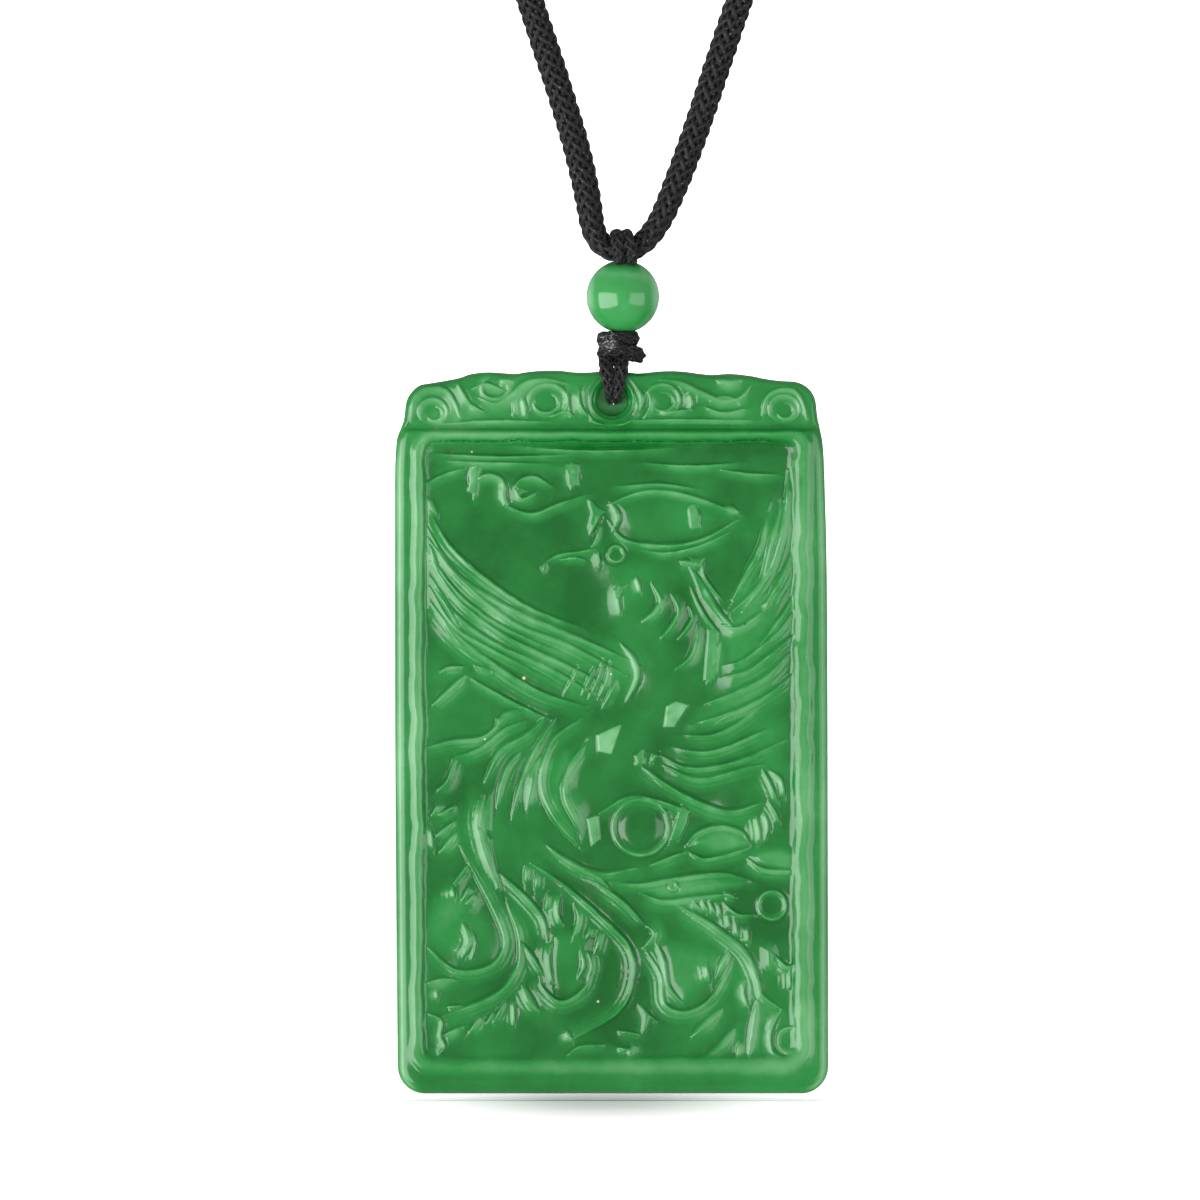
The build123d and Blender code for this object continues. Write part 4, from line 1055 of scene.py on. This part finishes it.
def openEdges(faces):
    # closed loops of the edges that belong to one face, each in its face's own direction, short ones first
    first, second = faces.ravel(), np.roll(faces, -1, axis=1).ravel()
    size = int(faces.max()) + 1
    single = ~np.isin(first * size + second, second * size + first)
    after = dict(zip(first[single].tolist(), second[single].tolist()))
    found = []
    while after:
        start = next(iter(after))
        loop = [start]
        at = after.pop(start)
        while at != start:
            loop.append(at)
            at = after.pop(at)
        found.append(loop)
    return sorted(found, key=len)


rim = np.array(openEdges(quads)[0])
spokes = places[rim] - holeAt
places[rim] = holeAt + spokes / np.linalg.norm(spokes, axis=1)[:, None] * hole["radius"]


def toModel(place, depth):
    # chart places and depths in mm as points in metres; the front looks along -Y
    return np.column_stack([
        place[:, 0] / chart["perMm"], -depth, chart["top"] - place[:, 1] / chart["perMm"],
    ]) * mm


used, quads = np.unique(quads, return_inverse=True)
quads = quads.reshape(-1, 4)
places = places[used]
raised = toModel(places, sampled(front, places[:, 0], places[:, 1]))
draft = meshObject("frontDraft", raised, quads.tolist(), plaqueJade)
fewer = draft.modifiers.new("fewer", "DECIMATE")
fewer.ratio = min(1.0, frontMesh["triangles"] / (2 * len(quads)))
kept = plainMesh(draft)
points = np.array([v.co[:] for v in kept.vertices]) / mm
kept.calc_loop_triangles()
faces = np.zeros(len(kept.loop_triangles) * 3, np.int64)
kept.loop_triangles.foreach_get("vertices", faces)
faces = faces.reshape(-1, 3)
places = np.column_stack([points[:, 0] * chart["perMm"], (chart["top"] - points[:, 2]) * chart["perMm"]])
print("front has", len(faces), "triangles")

depth = sampled(front, places[:, 0], places[:, 1])
slopeRow, slopeColumn = np.gradient(front, 1 / samples / chart["perMm"])
sx, sz = sampled(slopeColumn, places[:, 0], places[:, 1]), -sampled(slopeRow, places[:, 0], places[:, 1])
normals = np.column_stack([-sx, -np.ones(len(places)), -sz])
normals /= np.linalg.norm(normals, axis=1)[:, None]
# the colour's paleness at each point, with its painted highlights and painted shade
milkyAndLitAtPoints = sampled(milkyAndLit, places[:, 0], places[:, 1])

# the walls: rings of inset, depth behind the middle plane and tilt of the surface towards the back
back = depths["back"]
wallRows = [(0.0, -1.0, 0), (0.0, 1.25, 0), (0.08, 1.6, 22), (0.26, 1.93, 45), (0.5, 2.12, 68), (0.72, back, 90),
            (0.92, back, 90)]
wallEvenness = 7.0
# the hole: a cup at the front that narrows to a bore; the share towards the bore, depth, tilt and flare
cup = {"column": 1.5, "row": 25.8, "radius": 7.6}
cupRows = [
    (0.06, -1.75, -15, 0), (0.25, -1.5, -38, 0), (0.6, -1.27, -66, 0), (0.9, -1.15, -62, 0), (1.0, -0.95, -15, 0),
    (1.0, 1.75, 0, 0), (1.0, 2.0, 30, 0.06), (1.0, 2.15, 60, 0.16), (1.0, back, 90, 0.3), (1.0, back, 90, 0.45),
]
allPoints, allNormals, allMilkyAndLit = [toModel(places, depth)], [normals], [milkyAndLitAtPoints]
count = len(places)
lastRings = []
loops = openEdges(faces)
faces = faces.tolist()
ways = np.roll(outline, -2, axis=0) - np.roll(outline, 2, axis=0)
outlineWays = np.column_stack([ways[:, 1], -ways[:, 0]]) / np.linalg.norm(ways, axis=1)[:, None]
for loop, rings, outerWall in ((loops[-1], wallRows, True), (loops[0], cupRows, False)):
    loop = np.array(loop)
    at = places[loop]
    if outerWall:
        apart = ((at[:, None] - outline[None]) ** 2).sum(axis=2)
        outward = np.exp(-apart / (2 * wallEvenness**2)) @ outlineWays
        outward /= np.linalg.norm(outward, axis=1)[:, None]
        # the back bevel narrows where the hole comes near the top edge
        room = np.linalg.norm(at - holeAt, axis=1) - hole["radius"]
        share = np.clip((room - 5) / 13, 0, 1)[:, None]
    else:
        outward = (holeAt - at) / np.linalg.norm(holeAt - at, axis=1)[:, None]
    model = np.column_stack([outward[:, 0], np.zeros(len(at)), -outward[:, 1]])
    rimNormals = allNormals[0][loop] + model
    allNormals[0][loop] = rimNormals / np.linalg.norm(rimNormals, axis=1)[:, None]
    before = loop
    for inset, behind, tilt, *flared in rings:
        if outerWall:
            ring = at - outward * inset * share * chart["perMm"]
        else:
            middle = holeAt + (np.array([cup["column"], cup["row"]]) - holeAt) * inset
            radius = hole["radius"] + (cup["radius"] - hole["radius"]) * inset + flared[0] * chart["perMm"]
            ring = middle - outward * radius
        allPoints.append(toModel(ring, np.full(len(ring), -behind)))
        turn = math.radians(tilt)
        allNormals.append(model * math.cos(turn) + np.array([0, math.sin(turn), 0]))
        # painted highlight: the walls are coloured paler towards the front, palest in the front of the cup
        allMilkyAndLit.append(np.full(len(ring), 0.45 if outerWall and tilt < 80 else (0.6 if behind < -1.0 else 0.3)))
        now = np.arange(count, count + len(ring))
        count += len(ring)
        for a, b, c, d in zip(before, np.roll(before, -1), np.roll(now, -1), now):
            faces.append([int(b), int(a), int(d), int(c)])
        before = now
    lastRings.append((now, ring))
points = np.vstack(allPoints)
capNumbers = np.concatenate([ring[0] for ring in lastRings])
capPlaces = np.vstack([ring[1] for ring in lastRings])
capEdges, start = [], 0
for ring, _ in lastRings:
    capEdges += [(start + k, start + (k + 1) % len(ring)) for k in range(len(ring))]
    start += len(ring)
_, _, capFaces, capOld, _, _ = geometry.delaunay_2d_cdt(
    [Vector(p) for p in capPlaces], capEdges, [], 0, 1e-5
)
for triangle in capFaces:
    own = [capOld[k][0] for k in triangle]
    centre = capPlaces[own].mean(axis=0)
    inRim, inHole = [insideOf(*centre[:, None], ring)[0] for _, ring in lastRings]
    if inRim and not inHole:
        a, b, c = capPlaces[own]
        turning = (b[0] - a[0]) * (c[1] - a[1]) - (b[1] - a[1]) * (c[0] - a[0])
        own = own if turning > 0 else own[::-1]
        faces.append([int(capNumbers[k]) for k in own])
plaque = meshObject("jadePlaque", points, faces, plaqueJade)
plaque.data.normals_split_custom_set_from_vertices(np.vstack(allNormals).tolist())
attribute = plaque.data.attributes.new("pale", "FLOAT", "POINT")
attribute.data.foreach_set("value", np.concatenate(allMilkyAndLit).astype(np.float32))
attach(plaque, "plaque")
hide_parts("plaque")
shared = {}
for face in faces:
    for a, b in zip(face, face[1:] + face[:1]):
        shared[(a, b)] = shared.get((a, b), 0) + 1
loose = sum(1 for (a, b), n in shared.items() if n != 1 or (b, a) not in shared)
print("plaque made of", sum(len(f) - 2 for f in faces), "triangles; open or doubled edges", loose)


# Studio: a white floor with a painted shadow under the pendant, a white backdrop, soft boxes left and right, and a
# soft light above

studio = {
    "floorZ": -333.4, "reach": 9500.0, "back": 9000.0, "wall": 12000.0, "white": "#f4f4f4", "wallGlow": 1.1,
    "skyGlow": 0.3, "aim": (0, 0, -300),
    # the painted shadow on the floor under the pendant, where the floor glows less: half sizes, middle, and the
    # floor's glow in it and outside it
    "shade": (16.0, 88.0, 1.0), "shadeAt": (-0.8, 6.0, 0.0), "shadeGlow": (0.02, 0.5),
    # the floor is brighter farther off: from where, to where, and by how much
    "farther": (400.0, 2000.0, 0.45),
    "boxes": [
        # name, place in mm, width and height in mm, watts, whether the polish shows it
        ("leftBox", (-500, -400, -400), (850, 520), 4.9, True),
        ("rightBox", (520, -470, -370), (690, 450), 1.5, True),
        ("topBox", (-60, -200, 420), (600, 420), 2.0, False),
    ],
}


def stageSheet(name, corners, material, glow):
    # a large matt sheet that glows; the polish doesn't show it and it casts no shadow
    finishMaterial(material, {
        "Base Color": linear(studio["white"]), "Roughness": 0.9,
        "Emission Color": (1, 1, 1, 1), "Emission Strength": glow,
    })
    material.cycles.emission_sampling = "NONE"
    made = meshObject(name, [[c * mm for c in corner] for corner in corners], [(0, 1, 2, 3)], material)
    made.visible_glossy = False
    made.visible_shadow = False


paleFloor = newMaterial("paleFloor")
add = functools.partial(addNode, paleFloor.node_tree)
place = add("ShaderNodeTexCoord").outputs["Object"]
# a painted shadow: the floor glows less in an oval under the pendant
wide = [1 / (c * mm) for c in studio["shade"]]
shift = [-m / c for m, c in zip(studio["shadeAt"], studio["shade"])]
apart = add("ShaderNodeVectorMath", (place, wide, shift), operation="MULTIPLY_ADD")
flat = add("ShaderNodeVectorMath", (apart, (1, 1, 0)), operation="MULTIPLY")
away = add("ShaderNodeVectorMath", [flat], operation="LENGTH")
shade = add("ShaderNodeMapRange", {
    "Value": away.outputs["Value"], "From Min": 0.1, "From Max": 1.0,
    "To Min": studio["shadeGlow"][0], "To Max": studio["shadeGlow"][1],
}, interpolation_type="SMOOTHSTEP")
near, far, most = studio["farther"]
farther = add("ShaderNodeVectorMath", [place], operation="LENGTH")
table = add("ShaderNodeMapRange", {
    "Value": farther.outputs["Value"], "From Min": near * mm, "From Max": far * mm, "To Min": 0.0, "To Max": most,
})
glow = add("ShaderNodeMath", (shade, table), operation="ADD")
reach, back, floorZ, wallZ = studio["reach"], studio["back"], studio["floorZ"], studio["wall"]
stageSheet("floor", [
    (-reach, -reach, floorZ), (reach, -reach, floorZ), (reach, back, floorZ), (-reach, back, floorZ),
], paleFloor, glow)
stageSheet("backdrop", [
    (-reach, back, floorZ), (reach, back, floorZ), (reach, back, wallZ), (-reach, back, wallZ),
], newMaterial("paleWall"), studio["wallGlow"])

world = bpy.data.worlds.new("studio")
world.use_nodes = True
sky = world.node_tree.nodes["Background"].inputs
sky["Color"].default_value = (1, 1, 1, 1)
sky["Strength"].default_value = studio["skyGlow"]
bpy.context.scene.world = world

for name, place, (width, height), watts, shown in studio["boxes"]:
    data = bpy.data.lights.new(name, "AREA")
    data.shape = "RECTANGLE"
    data.size, data.size_y, data.energy = width * mm, height * mm, watts
    lamp = newObject(name, data)
    lamp.location = Vector(place) * mm
    lamp.visible_glossy = shown
    lamp.rotation_euler = (Vector(studio["aim"]) * mm - lamp.location).to_track_quat("-Z", "Y").to_euler()
bpy.context.scene.view_settings.view_transform = "Standard"
print("studio made")
